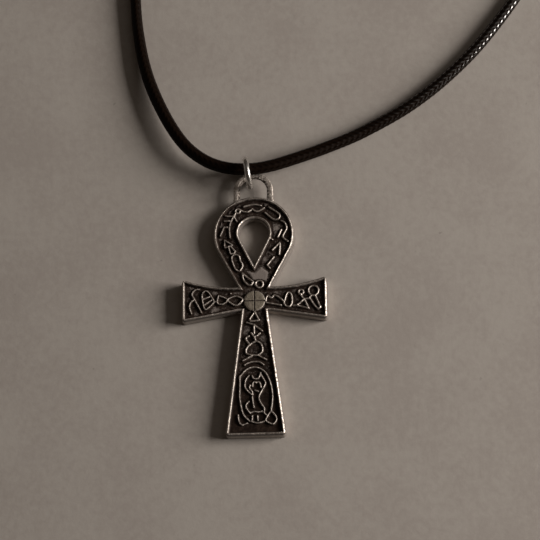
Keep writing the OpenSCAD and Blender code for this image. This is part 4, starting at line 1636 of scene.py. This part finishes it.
    def _painted_wall_light(self, z: Array, facing: Array, in_hole: Array) -> Array:
        """How bright the side walls are painted at each point: painted light and shade.

        A wall is painted bright along its middle, with painted shade at its foot by the floor, and dimmer
        under the rim.
        Its painted light is strongest where it faces a side, and weaker where it slants, faces up or down the
        picture or lies in the hole.

        Args:
            z: the height of each point.
            facing: the size of each part of its outward direction.
            in_hole: whether it's on the hole's wall.

        Returns:
            The painted brightness for each point, from 0 to 1.
        """
        wear = self.wear
        # painted light and shade: brighter where a wall faces a side, darker where it slants, lies in the
        # hole, meets the floor or runs under the rim
        lean = facing[:, 1] / np.maximum(np.hypot(facing[:, 0], facing[:, 1]), 1e-6)
        flank = smooth(facing[:, 0], *wear.wall_sideways)
        flank *= 1 - wear.slant_painted_shade * smooth(lean, *wear.wall_slant)
        flank *= np.where(in_hole, wear.hole_share, 1)
        shoulder = smooth(z, *wear.wall_shoulder)
        middle = wear.least_light + (1 - wear.least_light) * flank
        light = (1 - shoulder) * middle + wear.shoulder_light * shoulder * flank
        return smooth(z, *wear.wall_foot) * light

    def _polish_with_painted_shade(self, flat: Array, normals: Array, inside: Array, edge: Array) -> Array:
        """How much of its brightness the relief keeps at each point, after darkening and painted shade.

        It's darker towards the foot. Painted shade dulls the highlights of rims that face up or down the
        picture and of the loop's rims that face the key light, and darkens the signs at the left, away from
        the key light.

        Args:
            flat: the places, with x and y.
            normals: the outward direction at each of them.
            inside: how far each lies inside the plate's edge.
            edge: how far each lies from the nearer edge of the plate and the hole.

        Returns:
            The share for each point.
        """
        wear = self.wear
        x, y = flat[:, 0], flat[:, 1]
        on_ground = smooth(edge, *wear.ground_edge)
        # darker towards the foot; painted shade on rims facing up or down the picture or facing the key
        # light, to dull their highlights, and on signs at the left, away from the key light
        kept = 1 - wear.foot_darkening * smooth(-y, *wear.foot_y) * on_ground
        upright = smooth(np.abs(normals[:, 1]), *wear.rim_upright) * (1 - smooth(inside, *wear.rim_edge))
        left = (wear.left_painted_shade - wear.left_shade_cut * (y < wear.left_shade_cut_y)) * smooth(-x, *wear.left_x)
        to_key = smooth(normals[:, 0], *wear.key_facing) * smooth(y, *wear.key_y)
        to_key *= 1 - smooth(edge, *wear.key_edge)
        kept *= (1 - wear.rim_painted_shade * upright) * (1 - left * on_ground)
        return kept * (1 - wear.key_painted_shade * to_key)

    def _worn_ground(self, flat: Array, edge: Array) -> Array:
        """How far the black of the ground is worn away at each point.

        It wears where the ground lies open, more so towards the top, at the worn places and on the pad. The
        narrow places between signs stay black.

        Args:
            flat: the places, with x and y.
            edge: how far each lies from the nearer edge of the plate and the hole.

        Returns:
            The wear for each point.
        """
        wear = self.wear
        room = np.minimum(self._nearest(flat, self.sign_paths()), edge - wear.rim_room)
        open_ground = smooth(room, *wear.open_room)
        upwards = wear.low_share + (1 - wear.low_share) * smooth(flat[:, 1], *wear.low_y)
        worn = wear.open_worn * open_ground * upwards
        near, far = wear.place_reach
        for x, y, radius, how_far in WORN_PLACES:
            off = np.hypot(flat[:, 0] - x, flat[:, 1] - y)
            spot = how_far * (1 - smooth(off, near * radius, far * radius))
            worn = worn + wear.place_worn * spot * open_ground**0.5
        on_pad = smooth(self._within_pad(flat), *wear.pad_edge) * smooth(open_ground, *wear.pad_open)
        return worn + wear.pad_worn * on_pad

    def _bail_polish(self, points: Array) -> Array:
        """How polished the bail is at each point: most on the arch's outer upper side, and mottled.

        Args:
            points: the places, with x, y and z.

        Returns:
            The polish for each place.
        """
        arch = np.hypot(points[:, 0], np.maximum(points[:, 1] - self.bail_y, 0))
        bail = smooth(arch, self.bail_r - 0.4, self.bail_r - 0.1) * smooth(points[:, 2], 1.2, 1.6)
        bail *= 0.74 + 0.28 * ripple(points, 0.5, 13)
        return np.maximum(bail, 0.42 + 0.14 * ripple(points, 0.4, 17))

    def _record_finish(self, casting: bpy.types.Object) -> None:
        """Records what the material reads at each point of the casting.

        The numbers are how far a point stands in polished relief, darker towards the foot and with painted
        shade on some rims and signs, whether it's on a side wall and how bright its painted light and shade
        make it, how far it belongs to the satin boss, and how far the black ground is worn there.

        Args:
            casting: the finished mesh.
        """
        points, normals = mesh_points(casting), mesh_normals(casting)
        flat, z = points[:, :2], points[:, 2]
        inside, edge = self.plan.inside(flat), self.plan.edge(flat)
        of_bail = (inside < -0.02) & (flat[:, 1] > self.bail_foot_y)

        out = np.hypot(flat[:, 0], flat[:, 1])
        groove = self._in_cross(flat, self.groove_slope) * (out < self.boss_r) * (z < self.ground_z + 0.36)
        boss = 1 - smooth(out, self.boss_r - 0.1, self.boss_r)
        boss *= smooth(z, self.ground_z + 0.26, self.ground_z + 0.32) * (1 - groove)
        bail = self._bail_polish(points)
        above = (z - self.ground_z) / self.ground_depth
        # relief, darker towards the foot and with painted shade on some rims and signs
        relief = np.clip(above * (1 - groove), 0, 1) * self._polish_with_painted_shade(flat, normals, inside, edge)

        record_values(casting, "relief", np.where(of_bail, bail, relief))
        record_values(casting, "side", np.where(of_bail, 0, 1 - smooth(edge, *self.wear.wall_edge)))
        # the side walls' painted light and shade
        record_values(casting, "wall", self._painted_wall_light(z, np.abs(normals), inside > edge))
        record_values(casting, "boss", np.where(of_bail, 0.2 * bail, boss))
        record_values(casting, "worn", self._worn_ground(flat, edge))

    def build(self) -> bpy.types.Object:
        """Builds the casting and gives it its finish.

        Returns:
            The casting.
        """
        casting = self._plate()
        self._joined(casting, self._bail())
        casting.data.shade_smooth()
        self._record_finish(casting)
        casting.data.materials.clear()
        casting.data.materials.append(AntiquedCasting().material())
        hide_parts("ankh")
        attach(casting, BODY)
        log.info("ankh_casting: %d points", len(casting.data.vertices))
        return casting


@dataclass
class JumpRing:
    """The round wire ring that carries the cord, cut once where its ends butt."""

    centre: Place
    radius: float
    wire: float = RING_WIRE
    lean: float = 8.4
    gap: float = 0.05
    filed: float = 0.9
    cut_at: float = 205.0
    steps: int = 240
    sides: int = 40

    def build(self) -> bpy.types.Object:
        """Builds the wire: a circle carried round a larger circle, from one side of the cut to the other.

        The wire narrows at its very ends, as cut and filed wire does.

        Returns:
            The ring.
        """
        half_cut = self.gap / 2 / self.radius
        start = math.radians(self.cut_at)
        swing = np.linspace(start + half_cut, start + 2 * math.pi - half_cut, self.steps)
        tilt = math.radians(self.lean)
        away = np.stack([-np.sin(tilt) * np.cos(swing), np.cos(tilt) * np.cos(swing), np.sin(swing)], axis=1)
        axis = np.array([math.cos(tilt), math.sin(tilt), 0])
        angle = circle(self.sides)
        thick = np.full((self.steps, 1), self.wire / 2)
        thick[[0, -1]] *= self.filed
        middle = np.array(self.centre) + self.radius * away
        rings = middle[:, None, :] + (thick * np.cos(angle))[..., None] * away[:, None, :]
        rings = rings + (thick * np.sin(angle))[..., None] * axis
        ring = Fabric.tube("wire_ring", rings)
        ring.data.materials.append(BrightWire().material())
        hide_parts("jump_ring")
        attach(ring, BODY)
        log.info("wire_ring: radius %.2f mm", self.radius)
        return ring


@dataclass
class BarrelClasp:
    """The plain barrel that closes the cord, with a socket in each end."""

    centre: Place
    radius: float
    length: float
    socket_depth: float = 3.0
    socket_r: float = 1.05
    mouth_r: float = 0.12
    edge_r: float = 0.45
    swell: float = 0.06
    steps: int = 25
    sides: int = 96

    def build(self) -> bpy.types.Object:
        """Turns the barrel's profile round its length.

        The profile runs from the bottom of one socket, out over its lip, along the barrel and into the other
        socket. Its outer edges are quarter rounds, and its middle swells slightly.

        Returns:
            The clasp.
        """
        half = self.length / 2
        end = half - self.edge_r
        mouth = turn([half - self.mouth_r, self.socket_r + self.mouth_r], self.mouth_r, -math.pi / 2, 0, 5)
        lip = turn([end, self.radius - self.edge_r - self.swell], self.edge_r, 0, math.pi / 2, 8)
        right = np.vstack([[[half - self.socket_depth, self.socket_r]], mouth, lip])
        level = np.linspace(end, -end, self.steps)
        barrel = np.stack([level, self.radius - self.swell * (level / half) ** 2], axis=1)
        profile = np.vstack([right, barrel, right[::-1] * [-1, 1]])
        angle = circle(self.sides)
        across = profile[:, 1, None] * np.cos(angle)
        up = profile[:, 1, None] * np.sin(angle)
        along = np.repeat(profile[:, :1], self.sides, axis=1)
        clasp = Fabric.tube("barrel_clasp", np.stack([along, across, up], axis=2) + np.array(self.centre))
        clasp.data.materials.append(SatinPlate().material())
        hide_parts("clasp")
        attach(clasp, BODY)
        log.info("barrel_clasp: %.1f mm long", self.length)
        return clasp


def box_of(node: str) -> tuple[Array, Array]:
    """A CAD node's lowest and highest corner in millimetres."""
    low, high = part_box(node)
    return np.array(low) / MM, np.array(high) / MM


def main() -> None:
    """Builds the studio and the pieces in order."""
    logging.basicConfig(level=logging.INFO, format="%(name)s: %(message)s")
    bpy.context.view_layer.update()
    Studio().build()

    ring_low, ring_high = box_of("jump_ring")
    clasp_low, clasp_high = box_of("clasp")
    ankh_low, ankh_high = box_of("ankh")
    ring_middle = (ring_low + ring_high) / 2
    ring_radius = (ring_high[2] - ring_low[2] - RING_WIRE) / 2
    clasp_middle = (clasp_low + clasp_high) / 2

    BraidedCord(tuple(ring_middle[:2]), tuple(clasp_middle)).build()
    plan = AnkhPlan(arm_span=float(ankh_high[0]), stem_len=float(-ankh_low[1]))
    AnkhCasting(plan, plate_t=float(ankh_high[2])).build()
    JumpRing(tuple(ring_middle), ring_radius).build()
    BarrelClasp(tuple(clasp_middle), float(clasp_high[2] - clasp_low[2]) / 2,
                float(clasp_high[0] - clasp_low[0])).build()


if __name__ == "__main__":
    main()
